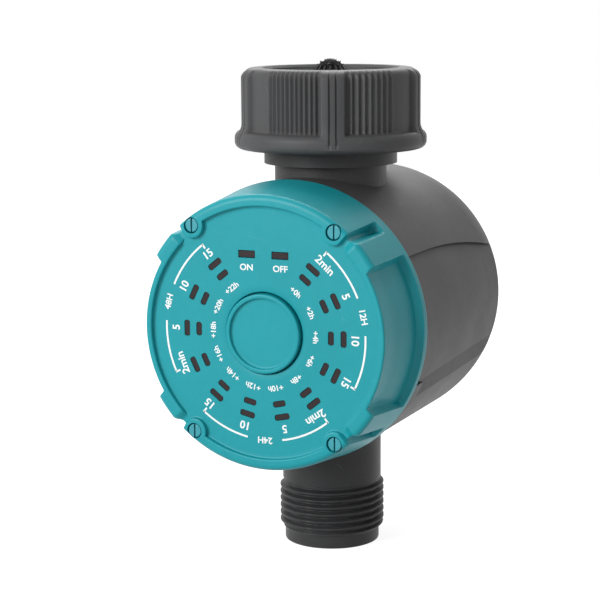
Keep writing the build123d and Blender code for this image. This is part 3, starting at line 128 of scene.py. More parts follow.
def settle(piece: bpy.types.Object) -> bpy.types.Object:
    """Put a piece's origin at the world origin, with its place in its mesh."""
    pick(piece)
    bpy.ops.object.transform_apply(location=True, rotation=True, scale=True)
    return piece


def join(name: str, pieces: Sequence[bpy.types.Object]) -> bpy.types.Object:
    """Join pieces into one object at the world origin.

    Args:
        name: Name of the joined object.
        pieces: Mesh objects, of which the first is kept.

    Returns:
        The joined object.
    """
    clear_selection()
    for piece in pieces:
        piece.select_set(True)
    bpy.context.view_layer.objects.active = pieces[0]
    bpy.ops.object.join()
    pieces[0].name = name
    return settle(pieces[0])


def spin_profile(
    name: str,
    points: Sequence[Vector],
    axis: Vector,
    centre: Vector,
    steps: int,
    closed: bool = True,
) -> bpy.types.Object:
    """Extrude a profile point by point and spin it through a full turn.

    Args:
        name: Name of the new object.
        points: Profile in metres, in the row frame.
        axis: Direction of the axis of the turn.
        centre: Point on that axis.
        steps: Divisions of the turn.
        closed: Whether the profile's last point is joined to its first.

    Returns:
        The spun object, with its doubles merged and its faces pointing outwards.
    """
    clear_selection()
    bpy.ops.mesh.primitive_plane_add(size=MM, location=(0, 0, 0))
    piece = bpy.context.active_object
    piece.name = name
    edit(piece)
    bpy.ops.mesh.merge(type="CENTER")
    bpy.ops.transform.translate(value=points[0])
    for start, end in zip(points, points[1:]):
        bpy.ops.mesh.extrude_vertices_move(TRANSFORM_OT_translate={"value": end - start})
    if closed:
        bpy.ops.mesh.select_all(action="DESELECT")
        bpy.ops.object.mode_set(mode="OBJECT")
        piece.data.vertices[0].select = True
        piece.data.vertices[len(points) - 1].select = True
        bpy.ops.object.mode_set(mode="EDIT")
        bpy.ops.mesh.edge_face_add()
    bpy.ops.mesh.select_all(action="SELECT")
    bpy.ops.mesh.spin(steps=steps, angle=2 * math.pi, center=centre, axis=axis)
    bpy.ops.mesh.select_all(action="SELECT")
    bpy.ops.mesh.remove_doubles(threshold=0.001 * MM)
    bpy.ops.mesh.normals_make_consistent(inside=False)
    bpy.ops.object.mode_set(mode="OBJECT")
    return piece


def smooth(piece: bpy.types.Object, angle: float = 32.0) -> bpy.types.Object:
    """Shade a piece smooth up to an angle in degrees."""
    pick(piece)
    bpy.ops.object.shade_smooth_by_angle(angle=math.radians(angle))
    return piece


def places_of(piece: bpy.types.Object) -> np.ndarray:
    """Vertex places of a piece in millimetres, one row each."""
    values = np.empty(len(piece.data.vertices) * 3)
    piece.data.vertices.foreach_get("co", values)
    return values.reshape(-1, 3) / MM


def set_places(piece: bpy.types.Object, places: np.ndarray) -> None:
    """Move a piece's vertices to new places in millimetres."""
    piece.data.vertices.foreach_set("co", (places * MM).ravel())
    piece.data.update()


def cut(piece: bpy.types.Object, tools: Sequence[bpy.types.Object]) -> None:
    """Cut closed tools out of a piece and delete them.

    Args:
        piece: Mesh object that is cut.
        tools: Closed mesh objects that don't touch each other.
    """
    tool = tools[0] if len(tools) == 1 else join("cutter", tools)
    pick(piece)
    modifier = piece.modifiers.new("cut", "BOOLEAN")
    modifier.operation = "DIFFERENCE"
    modifier.solver = "EXACT"
    modifier.object = tool
    bpy.ops.object.modifier_apply(modifier=modifier.name)
    bpy.data.objects.remove(tool)


def step_up(value: np.ndarray, low: float, high: float) -> np.ndarray:
    """Smooth step from 0 at one value to 1 at another."""
    t = np.clip((value - low) / (high - low), 0, 1)
    return t * t * (3 - 2 * t)


def arc(
    centre: tuple[float, float], radius: float, start: float, end: float, count: int
) -> list[tuple[float, float]]:
    """Points along an arc of a profile.

    Args:
        centre: Centre of the arc in the profile's two coordinates.
        radius: Radius in millimetres.
        start: First angle in degrees, from the first coordinate towards the second.
        end: Last angle in degrees.
        count: Number of points.

    Returns:
        The points, both ends among them.
    """
    turns = [math.radians(start + (end - start) * n / (count - 1)) for n in range(count)]
    return [(centre[0] + radius * math.cos(t), centre[1] + radius * math.sin(t)) for t in turns]


def dial_point(x: float, y: float, depth: float) -> Vector:
    """Point given from the dial's centre, right, up and backwards, as metres in the row frame."""
    return Vector((x, FACE_Y + depth, DIAL_Z + y)) * MM


# ---- Shader node groups ---------------------------------------------------------------
def new_group(
    name: str, inputs: Iterable[tuple[str, str, object]], outputs: Iterable[tuple[str, str]]
) -> bpy.types.NodeTree:
    """Make an empty shader node group.

    Args:
        name: Name of the group.
        inputs: Socket name, socket type and default value of each input.
        outputs: Socket name and socket type of each output.

    Returns:
        The group, with its input and output nodes placed.
    """
    tree = bpy.data.node_groups.new(name, "ShaderNodeTree")
    for label, kind, default in inputs:
        socket = tree.interface.new_socket(name=label, in_out="INPUT", socket_type=kind)
        socket.default_value = default
    for label, kind in outputs:
        tree.interface.new_socket(name=label, in_out="OUTPUT", socket_type=kind)
    tree.nodes.new("NodeGroupInput").name = "in"
    tree.nodes.new("NodeGroupOutput").name = "out"
    return tree


class Weaver:
    """Adds and links the nodes of one tree."""

    def __init__(self, tree: bpy.types.NodeTree) -> None:
        """Keep the tree that the nodes go into."""
        self.tree = tree

    def add(
        self, kind: str, settings: dict[str, object] | None = None, **sockets: object
    ) -> bpy.types.Node:
        """Add a node and fill its inputs.

        Args:
            kind: Node type without its ShaderNode prefix.
            settings: Node properties by name.
            sockets: Input values or output sockets, by input name with _ for a space.

        Returns:
            The new node.
        """
        node = self.tree.nodes.new("ShaderNode" + kind)
        for label, value in (settings or {}).items():
            setattr(node, label, value)
        for label, value in sockets.items():
            key = int(label[1:]) if label[0] == "i" and label[1:].isdigit() else label.replace("_", " ")
            socket = node.inputs[key]
            if isinstance(value, bpy.types.NodeSocket):
                self.tree.links.new(value, socket)
            else:
                socket.default_value = value
        return node

    def math(
        self, operation: str, first: object, second: object = 0.0, clamp: bool = False
    ) -> bpy.types.NodeSocket:
        """Result of one arithmetic node."""
        node = self.add("Math", {"operation": operation, "use_clamp": clamp}, i0=first, i1=second)
        return node.outputs[0]

    def spread(
        self, value: object, low: float, high: float, to_low: object, to_high: object
    ) -> bpy.types.NodeSocket:
        """Value mapped from one range into another, held inside it."""
        node = self.add(
            "MapRange",
            {"clamp": True},
            Value=value,
            From_Min=low,
            From_Max=high,
            To_Min=to_low,
            To_Max=to_high,
        )
        return node.outputs[0]

    def mix(
        self, factor: object, first: object, second: object, blend: str = "MIX"
    ) -> bpy.types.NodeSocket:
        """Colour mixed from two others."""
        node = self.add("Mix", {"data_type": "RGBA", "blend_type": blend, "clamp_factor": True})
        for index, value in ((0, factor), (6, first), (7, second)):
            if isinstance(value, bpy.types.NodeSocket):
                self.tree.links.new(value, node.inputs[index])
            else:
                node.inputs[index].default_value = value
        return node.outputs[2]


def moulded_grain_group() -> bpy.types.NodeTree:
    """Fine spark-eroded grain of a moulding, with slow changes of tone and gloss."""
    tree = new_group(
        "moulded_grain",
        [
            ("Color", "NodeSocketColor", (0.5, 0.5, 0.5, 1)),
            ("Tone Spread", "NodeSocketFloat", 0.1),
            ("Roughness", "NodeSocketFloat", 0.5),
            ("Gloss Spread", "NodeSocketFloat", 0.08),
            ("Grain Scale", "NodeSocketFloat", 4000.0),
            ("Grain Height", "NodeSocketFloat", 0.02),
        ],
        [("Color", "NodeSocketColor"), ("Roughness", "NodeSocketFloat"), ("Normal", "NodeSocketVector")],
    )
    w = Weaver(tree)
    source, result = tree.nodes["in"], tree.nodes["out"]
    place = w.add("TexCoord").outputs["Object"]
    slow = w.add("TexNoise", Vector=place, Scale=60.0, Detail=3.0, Roughness=0.55)
    middle = w.add("TexNoise", Vector=place, Scale=420.0, Detail=2.0, Roughness=0.5)
    fine = w.add("TexNoise", Vector=place, Scale=source.outputs["Grain Scale"], Detail=1.5, Roughness=0.6)
    blotch = w.spread(slow.outputs["Fac"], 0.3, 0.7, -0.5, 0.5)
    speck = w.spread(middle.outputs["Fac"], 0.3, 0.7, -0.25, 0.25)
    change = w.math("MULTIPLY", w.math("ADD", blotch, speck), source.outputs["Tone Spread"])
    level = w.math("ADD", change, 1.0)
    shade = w.add("VectorMath", {"operation": "SCALE"}, Vector=source.outputs["Color"], Scale=level)
    w.tree.links.new(shade.outputs[0], result.inputs["Color"])
    gloss = w.math("MULTIPLY", w.math("ADD", blotch, speck), source.outputs["Gloss Spread"])
    w.tree.links.new(
        w.math("ADD", gloss, source.outputs["Roughness"], clamp=True), result.inputs["Roughness"]
    )
    bump = w.add(
        "Bump",
        Strength=0.6,
        Distance=0.0002,
        Height=w.math("MULTIPLY", fine.outputs["Fac"], source.outputs["Grain Height"]),
    )
    w.tree.links.new(bump.outputs[0], result.inputs["Normal"])
    return tree


def handling_marks_group() -> bpy.types.NodeTree:
    """Sparse fine scratches and rubbed patches, as a mask and a change of gloss."""
    tree = new_group(
        "handling_marks",
        [
            ("Color", "NodeSocketColor", (0.5, 0.5, 0.5, 1)),
            ("Roughness", "NodeSocketFloat", 0.5),
            ("Amount", "NodeSocketFloat", 0.3),
            ("Scale", "NodeSocketFloat", 90.0),
        ],
        [("Color", "NodeSocketColor"), ("Roughness", "NodeSocketFloat")],
    )
    w = Weaver(tree)
    source, result = tree.nodes["in"], tree.nodes["out"]
    place = w.add("TexCoord").outputs["Object"]
    warp = w.add("TexNoise", Vector=place, Scale=35.0, Detail=2.0)
    bent = w.add("VectorMath", {"operation": "SCALE"}, Vector=warp.outputs["Color"], Scale=0.012)
    moved = w.add("VectorMath", {"operation": "ADD"}, i0=place, i1=bent.outputs[0])
    cells = w.add(
        "TexVoronoi",
        {"feature": "DISTANCE_TO_EDGE"},
        Vector=moved.outputs[0],
        Scale=source.outputs["Scale"],
    )
    line = w.spread(cells.outputs["Distance"], 0.0, 0.012, 1.0, 0.0)
    patch = w.add("TexNoise", Vector=place, Scale=110.0, Detail=4.0, Roughness=0.7)
    sparse = w.spread(patch.outputs["Fac"], 0.56, 0.68, 0.0, 1.0)
    mask = w.math("MULTIPLY", w.math("MULTIPLY", line, sparse), source.outputs["Amount"], clamp=True)
    pale = w.mix(0.45, source.outputs["Color"], (0.9, 0.9, 0.9, 1))
    w.tree.links.new(w.mix(mask, source.outputs["Color"], pale), result.inputs["Color"])
    rubbed = w.math("MULTIPLY", sparse, w.math("MULTIPLY", source.outputs["Amount"], -0.12))
    rough = w.math("ADD", w.math("ADD", source.outputs["Roughness"], rubbed), w.math("MULTIPLY", mask, 0.2))
    w.tree.links.new(w.math("MAXIMUM", rough, 0.05), result.inputs["Roughness"])
    return tree


# ---- Finishes -------------------------------------------------------------------------
class Detail(Enum):
    """What a finish shows beside its grain."""

    PLAIN = "plain"
    BRUSHED = "brushed"
    TURNED = "turned"
    TRACKS = "tracks"
    WRAPPED = "wrapped"
    DRAWN = "drawn"


def linear(red: int, green: int, blue: int) -> tuple[float, float, float, float]:
    """Linear colour of three display values from 0 to 255."""

    def one(value: int) -> float:
        share = value / 255
        return share / 12.92 if share <= 0.04045 else ((share + 0.055) / 1.055) ** 2.4

    return (one(red), one(green), one(blue), 1.0)


@dataclass(frozen=True)
class Finish:
    """One surface finish: its colour, gloss, grain and marks."""

    name: str
    colour: tuple[float, float, float, float]
    roughness: float = 0.5
    gloss_spread: float = 0.08
    tone_spread: float = 0.08
    grain_scale: float = 3200.0
    grain_height: float = 0.3
    marks: float = 0.25
    metallic: float = 0.0
    specular: float = 0.5
    coat: float = 0.0
    sheen: float = 0.0
    transmission: float = 0.0
    detail: Detail = Detail.PLAIN

    def build(self, grain: bpy.types.NodeTree, marks: bpy.types.NodeTree) -> bpy.types.Material:
        """Make the material of this finish.

        Args:
            grain: The moulded grain group.
            marks: The handling marks group.

        Returns:
            The material.
        """
        material = bpy.data.materials.new(self.name)
        material.use_nodes = True
        material.diffuse_color = self.colour
        w = Weaver(material.node_tree)
        shader = material.node_tree.nodes["Principled BSDF"]
        surface = w.add("Group", {"node_tree": grain})
        for label, value in (
            ("Color", self.colour),
            ("Tone Spread", self.tone_spread),
            ("Roughness", self.roughness),
            ("Gloss Spread", self.gloss_spread),
            ("Grain Scale", self.grain_scale),
            ("Grain Height", self.grain_height),
        ):
            surface.inputs[label].default_value = value
        colour, rough = surface.outputs["Color"], surface.outputs["Roughness"]
        colour, rough = self.add_detail(w, colour, rough)
        worn = w.add("Group", {"node_tree": marks}, Color=colour, Roughness=rough, Amount=self.marks)
        material.node_tree.links.new(worn.outputs["Color"], shader.inputs["Base Color"])
        material.node_tree.links.new(worn.outputs["Roughness"], shader.inputs["Roughness"])
        material.node_tree.links.new(surface.outputs["Normal"], shader.inputs["Normal"])
        shader.inputs["Metallic"].default_value = self.metallic
        shader.inputs["Specular IOR Level"].default_value = self.specular
        shader.inputs["Coat Weight"].default_value = self.coat
        shader.inputs["Coat Roughness"].default_value = 0.12
        shader.inputs["Sheen Weight"].default_value = self.sheen
        shader.inputs["Transmission Weight"].default_value = self.transmission
        return material

    def add_detail(
        self, w: Weaver, colour: bpy.types.NodeSocket, rough: bpy.types.NodeSocket
    ) -> tuple[bpy.types.NodeSocket, bpy.types.NodeSocket]:
        """Lay the finish's own pattern over its colour and gloss.

        Args:
            w: Weaver of the material's nodes.
            colour: Colour so far.
            rough: Roughness so far.

        Returns:
            The colour and the roughness with the pattern.
        """
        if self.detail is Detail.PLAIN:
            return colour, rough
        place = w.add("TexCoord").outputs["Object"]
        stretch = {
            Detail.BRUSHED: (400.0, 20.0, 400.0),
            Detail.DRAWN: (30.0, 900.0, 900.0),
            Detail.TURNED: (900.0, 40.0, 900.0),
            Detail.TRACKS: (260.0, 260.0, 260.0),
            Detail.WRAPPED: (25.0, 500.0, 500.0),
        }[self.detail]
        turned = w.add("Mapping", Vector=place, Scale=stretch)
        if self.detail is Detail.TRACKS:
            lines = w.add(
                "TexBrick", {"offset": 0.5}, Vector=turned.outputs[0], Scale=1.0, Mortar_Size=0.06
            )
            mask = w.math("MULTIPLY", lines.outputs["Fac"], 0.6)
            return w.mix(mask, colour, (0.16, 0.42, 0.13, 1)), rough
        streak = w.add("TexNoise", Vector=turned.outputs[0], Scale=1.0, Detail=3.0, Roughness=0.6)
        dark = w.add("VectorMath", {"operation": "SCALE"}, Vector=colour, Scale=0.72)
        mixed = w.mix(w.spread(streak.outputs["Fac"], 0.35, 0.65, 0.0, 1.0), colour, dark.outputs[0])
        return mixed, w.math("ADD", rough, w.spread(streak.outputs["Fac"], 0.3, 0.7, -0.06, 0.06))


TEAL = linear(22, 151, 161)
FINISH_LIST = (
    Finish(
        "teal_plastic", TEAL, roughness=0.4, tone_spread=0.05, grain_height=0.25, marks=0.10, specular=0.3
    ),
    Finish("smoke_lens", linear(34, 20, 23), roughness=0.3, tone_spread=0.2, marks=0.05, specular=0.3),
    Finish("grey_plastic", linear(74, 73, 74), roughness=0.5, tone_spread=0.06, marks=0.12, specular=0.2),
    Finish("dark_plastic", linear(76, 76, 77), roughness=0.5, tone_spread=0.10, marks=0.15, specular=0.22),
    Finish(
        "black_plastic", linear(56, 56, 57), roughness=0.46, tone_spread=0.12, marks=0.15, specular=0.22
    ),
    Finish("filter_plastic", linear(24, 24, 25), roughness=0.4, tone_spread=0.1, marks=0.05, specular=0.35),
    Finish("seal_rubber", linear(30, 30, 32), roughness=0.7, grain_scale=1500.0, sheen=0.1, marks=0.1),
    Finish("silicone", linear(200, 196, 186), roughness=0.55, grain_scale=1500.0, sheen=0.15, marks=0.05),
    Finish("face_screw", linear(48, 150, 162), roughness=0.42, marks=0.2),
    Finish(
        "zinc_steel", linear(186, 190, 196), roughness=0.3, metallic=1.0, marks=0.3, detail=Detail.TURNED
    ),
    Finish("board", linear(24, 84, 46), roughness=0.35, grain_height=0.1, marks=0.1, detail=Detail.TRACKS),
    Finish("led", linear(232, 226, 206), roughness=0.25, tone_spread=0.12, marks=0.05, coat=0.3),
    Finish("component_black", linear(34, 34, 37), roughness=0.5, grain_height=0.4, marks=0.1),
    Finish("capacitor_can", linear(60, 72, 110), roughness=0.3, metallic=0.5, detail=Detail.WRAPPED),
    Finish("acetal", linear(226, 222, 208), roughness=0.38, tone_spread=0.04, grain_height=0.15, marks=0.1),
    Finish(
        "valve_steel", linear(200, 202, 205), roughness=0.18, metallic=1.0, marks=0.2, detail=Detail.BRUSHED
    ),
    Finish("valve_brass", linear(204, 170, 96), roughness=0.28, metallic=1.0, detail=Detail.TURNED),
    Finish("motor_can", linear(176, 178, 180), roughness=0.3, metallic=1.0, detail=Detail.TURNED),
    Finish(
        "cell_wrap", linear(52, 70, 92), roughness=0.25, tone_spread=0.15, coat=0.4, detail=Detail.WRAPPED
    ),
    Finish("contact_metal", linear(206, 200, 186), roughness=0.25, metallic=1.0, detail=Detail.DRAWN),
    Finish(
        "dial_ink", linear(244, 248, 248), roughness=0.6, tone_spread=0.05, grain_height=0.2, marks=0.08
    ),
)
FINISHES = {finish.name: finish for finish in FINISH_LIST}


@dataclass
class FinishRack:
    """Holds the finished materials and puts them on the parts."""

    materials: dict[str, bpy.types.Material] = field(default_factory=dict)

    def fill(self) -> None:
        """Build every finish once."""
        grain, marks = moulded_grain_group(), handling_marks_group()
        for name, finish in FINISHES.items():
            self.materials[name] = finish.build(grain, marks)

    def put_on(self, piece: bpy.types.Object, name: str) -> None:
        """Give a piece one material in place of those it has."""
        piece.data.materials.clear()
        piece.data.materials.append(self.materials[name])

    def dress_parts(self) -> None:
        """Give every carried-over part the finish of its slot in the record."""
        for entry in frame["record"]["subparts"]:
            self.put_on(frame["nodes"][entry["node"]], entry["material_slot"])


# ---- Front bezel ----------------------------------------------------------------------
@dataclass
class FrontBezel:
    """Dished teal front with its rim, screw bosses, four grooves and two side pockets."""

    steps: int = 720
    hole_radius: float = 9.7
    face_thickness: float = 2.0
    wall_radius: float = 29.5
    rim_height: float = 1.2
    front_radius: float = 32.6
    rear_radius: float = 34.3
    length: float = 16.8
    rim_round: float = 1.5
    cavity_radius: float = 28.8
    groove_radius: float = 31.3
    groove_depth: float = 13.0
    pocket_round: float = 0.5
    pocket_floor: tuple[float, float] = (30.45, 32.3)
    pocket_depths: tuple[float, float] = (4.5, 14.8)
    screw_place: tuple[float, float] = (18.0, 24.6)
    boss_radius: float = 3.0
    screw_hole_radius: float = 1.92
    screw_hole_floor: float = 0.9
    shank_hole_radius: float = 1.3
    outer_windows: tuple[float, float, float] = (20.0, 3.85, 1.5)
    inner_windows: tuple[float, float, float] = (16.86, 3.25, 1.5)
    state_windows: tuple[float, float, float, float] = (4.24, 18.43, 4.3, 1.8)
    window_corner: float = 0.55
    state_corner: float = 0.2

    def cone(self, depth: float) -> float:
        """Radius of the outer side at a depth behind the face."""
        share = (depth - self.rim_round + self.rim_height) / (
            self.length - self.rim_round + self.rim_height
        )
        return self.front_radius + (self.rear_radius - self.front_radius) * share

    def profiles(self) -> tuple[list, list, list, list]:
        """Three matching profiles and how far each point follows the wall's own radius.

        Returns:
            The plain rim, the groove, the pocket, each as depth and radius, and the weights.
        """
        top = -self.rim_height
        edge = self.rim_round + top
        rim: list[tuple[float, float]] = [(self.face_thickness, self.hole_radius)]
        rim += arc((0.35, self.hole_radius + 0.35), 0.35, 270, 180, 4)
        rim += [(0.0, r) for r in (11.5, 14.0, 17.0, 20.0, 22.5, 25.0, 26.5, 27.6, 28.4)]
        weights = [0.0] * (len(rim) - 3) + [0.33, 0.58, 0.76]
        rim += arc((-0.3, self.wall_radius - 0.3), 0.3, 0, 90, 4)
        rim += arc((top + 0.35, self.wall_radius + 0.35), 0.35, 270, 180, 5)
        weights += [0.93, 0.97, 1.0, 1.0, 1.0, 1.0, 1.0, 0.97, 0.9]
        groove = [(max(d, 0.0), r) for d, r in rim]
        pocket = list(rim)
        for radius in (30.2, 30.5, 30.8):
            rim.append((top, radius))
            groove.append((0.0, radius))
            pocket.append((top, 29.88 + (radius - 30.2) * 0.1))
            weights.append((30.8 - radius) / 2)
        rim += arc((edge, self.front_radius - self.rim_round), self.rim_round, 180, 90, 9)
        groove += arc((0.4, self.groove_radius - 0.4), 0.4, 180, 90, 9)
        soft = self.pocket_round
        pocket += arc((top + soft, self.pocket_floor[0] - soft), soft, 180, 90, 9)
        weights += [0.0] * 9
        low, high = self.pocket_depths
        sides = [0.7, 1.0, 1.25, 1.5, 1.75, 2.0, 2.6, 3.6, 5.0, 6.5, 8.0, 9.5, 11.0, 12.0, 12.5]
        sides += [12.75, 13.0, 13.25, 13.6, 14.0, 14.4, 14.65, 14.8, 14.95, 15.2, 15.6, 16.1]
        for depth in sides:
            cone = self.cone(depth)
            rim.append((depth, cone))
            back = float(step_up(np.array(depth), self.groove_depth - 0.5, self.groove_depth + 0.6))
            groove.append((depth, self.groove_radius + (cone - self.groove_radius) * back))
            rise = max(0.0, (depth - low) / (high - low))
            floor = self.pocket_floor[0] + (self.pocket_floor[1] - self.pocket_floor[0]) * rise
            rear = float(step_up(np.array(depth), high - 0.4, high + 0.2))
            pocket.append((depth, floor + (cone - floor) * rear))
            weights.append(0.0)
        tail = arc((self.length - 0.35, self.cone(self.length) - 0.35), 0.35, 90, 0, 4)
        tail += [(self.length, 32.6), (self.length, 31.0), (self.length, self.cavity_radius)]
        tail += [(10.0, self.cavity_radius), (self.face_thickness + 0.6, self.cavity_radius)]
        tail += [(self.face_thickness, self.cavity_radius - 0.6), (self.face_thickness, 20.0)]
        rim += tail
        groove += tail
        pocket += tail
        weights += [0.0] * len(tail)
        return rim, groove, pocket, weights

    def wall_shift(self, folded: np.ndarray) -> np.ndarray:
        """How far the rim's inner wall stands off its plain radius, by angle.

        Args:
            folded: Angles from the top in degrees, folded into one quarter.

        Returns:
            The shift in millimetres, negative towards the dial's centre.
        """
        base = self.wall_radius + 0.3 - 0.8 * step_up(folded, 41, 47)
        reach = math.hypot(*self.screw_place)
        middle = math.degrees(math.atan2(*self.screw_place))
        offset = np.radians(folded - middle)
        across = self.boss_radius**2 - (reach * np.sin(offset)) ** 2
        boss = np.where(
            across > 0, reach * np.cos(offset) - np.sqrt(np.maximum(across, 0)), self.wall_radius + 4
        )
        blend = 0.7
        share = np.clip(0.5 + 0.5 * (base - boss) / blend, 0, 1)
        merged = base + (boss - base) * share - blend * share * (1 - share)
        return np.minimum(merged, base) - self.wall_radius

    def shape(self, piece: bpy.types.Object, lists: tuple[list, list, list, list]) -> None:
        """Move the spun body's vertices between the three profiles.

        Args:
            piece: The spun bezel.
            lists: The three profiles and the weights.
        """
        rim, groove, pocket = (np.array(points) for points in lists[:3])
        weights = np.array(lists[3])
        places = places_of(piece)
        x, depth, y = places[:, 0], places[:, 1] - FACE_Y, places[:, 2] - DIAL_Z
        radius = np.hypot(x, y)
        gap = (depth[:, None] - rim[None, :, 0]) ** 2 + (radius[:, None] - rim[None, :, 1]) ** 2
        index = gap.argmin(axis=1)
        angle = np.degrees(np.arctan2(x, y))
        folded = np.abs(angle) % 180
        folded = np.minimum(folded, 180 - folded)
        in_groove = step_up(folded, 40.9, 42.1) * (1 - step_up(folded, 43.2, 47.4))
        in_pocket = step_up(folded, 58.0, 59.3)
        shift = self.wall_shift(folded) * weights[index]
        base = rim[index].copy()
        base[:, 1] += shift
        channel = groove[index].copy()
        channel[:, 1] += shift
        hollow = pocket[index].copy()
        hollow[:, 1] += shift * (rim[index][:, 1] < 30.1)
        put = base + (channel - base) * in_groove[:, None]
        put = put + (hollow - put) * in_pocket[:, None]
        turn = np.radians(angle)
        places[:, 0] = put[:, 1] * np.sin(turn)
        places[:, 1] = put[:, 0] + FACE_Y
        places[:, 2] = put[:, 1] * np.cos(turn) + DIAL_Z
        set_places(piece, places)

    def screw_centres(self) -> list[tuple[float, float]]:
        """Places of the four face screws on the dial."""
        x, y = self.screw_place
        return [(x, y), (-x, y), (-x, -y), (x, -y)]

    def window_tool(
        self, width: float, height: float, radius: float, angle: float, corner: float
    ) -> bpy.types.Object:
        """Rounded block that cuts one window.

        Args:
            width: Size across the radius.
            height: Size along the radius.
            radius: Distance of its middle from the dial's centre.
            angle: Angle from the top in degrees.
            corner: Radius of its corners.

        Returns:
            The block, in its place.
        """
        clear_selection()
        bpy.ops.mesh.primitive_cube_add(size=1, location=(0, 0, 0))
        block = bpy.context.active_object
        edit(block)
        bpy.ops.transform.resize(value=(width * MM, 6 * MM, height * MM))
        select_where(block, "VERT", lambda place, normal: True)
        bpy.ops.mesh.select_mode(type="EDGE")
        bpy.ops.mesh.select_all(action="DESELECT")
        bpy.ops.object.mode_set(mode="OBJECT")
        for edge in block.data.edges:
            ends = [block.data.vertices[v].co for v in edge.vertices]
            edge.select = abs(ends[0].y - ends[1].y) > MM
        bpy.ops.object.mode_set(mode="EDIT")
        bpy.ops.mesh.bevel(offset=corner * MM, segments=4, affect="EDGES")
        bpy.ops.object.mode_set(mode="OBJECT")
        turn = math.radians(angle)
        block.matrix_world = Matrix.Translation(
            dial_point(radius * math.sin(turn), radius * math.cos(turn), 0)
        ) @ Matrix.Rotation(turn, 4, "Y")
        return settle(block)

    def hole_tool(
        self, centre: tuple[float, float], radius: float, start: float, end: float
    ) -> bpy.types.Object:
        """Cylinder along the dial's axis that cuts one hole between two depths."""
        clear_selection()
        bpy.ops.mesh.primitive_cylinder_add(
            vertices=48,
            radius=radius * MM,
            depth=(end - start) * MM,
            location=dial_point(centre[0], centre[1], (start + end) / 2),
            rotation=(math.pi / 2, 0, 0),
        )
        return settle(bpy.context.active_object)

    def build(self) -> bpy.types.Object:
        """Spin, shape and cut the bezel."""
        lists = self.profiles()
        points = [dial_point(0, radius, depth) for depth, radius in lists[0]]
        bezel = spin_profile(
            "bezel_shell", points, Vector((0, 1, 0)), dial_point(0, 0, 0), self.steps
        )
        self.shape(bezel, lists)
        windows = []
        for n in range(12):
            for radius, width, height in (self.outer_windows, self.inner_windows):
                windows.append(
                    self.window_tool(width, height, radius, 360 / 14 * (n + 1.5), self.window_corner)
                )
        x, y, width, height = self.state_windows
        for side in (-1, 1):
            block = self.window_tool(width, height, 0, 0, self.state_corner)
            edit(block)
            bpy.ops.transform.translate(value=(side * x * MM, 0, y * MM))
            bpy.ops.object.mode_set(mode="OBJECT")
            windows.append(block)
        heads = [
            self.hole_tool(c, self.screw_hole_radius, -3, self.screw_hole_floor) for c in self.screw_centres()
        ]
        cut(bezel, windows + heads)
        shanks = [
            self.hole_tool(c, self.shank_hole_radius, -3, self.length + 2) for c in self.screw_centres()
        ]
        cut(bezel, shanks)
        smooth(bezel, 30)
        return bezel


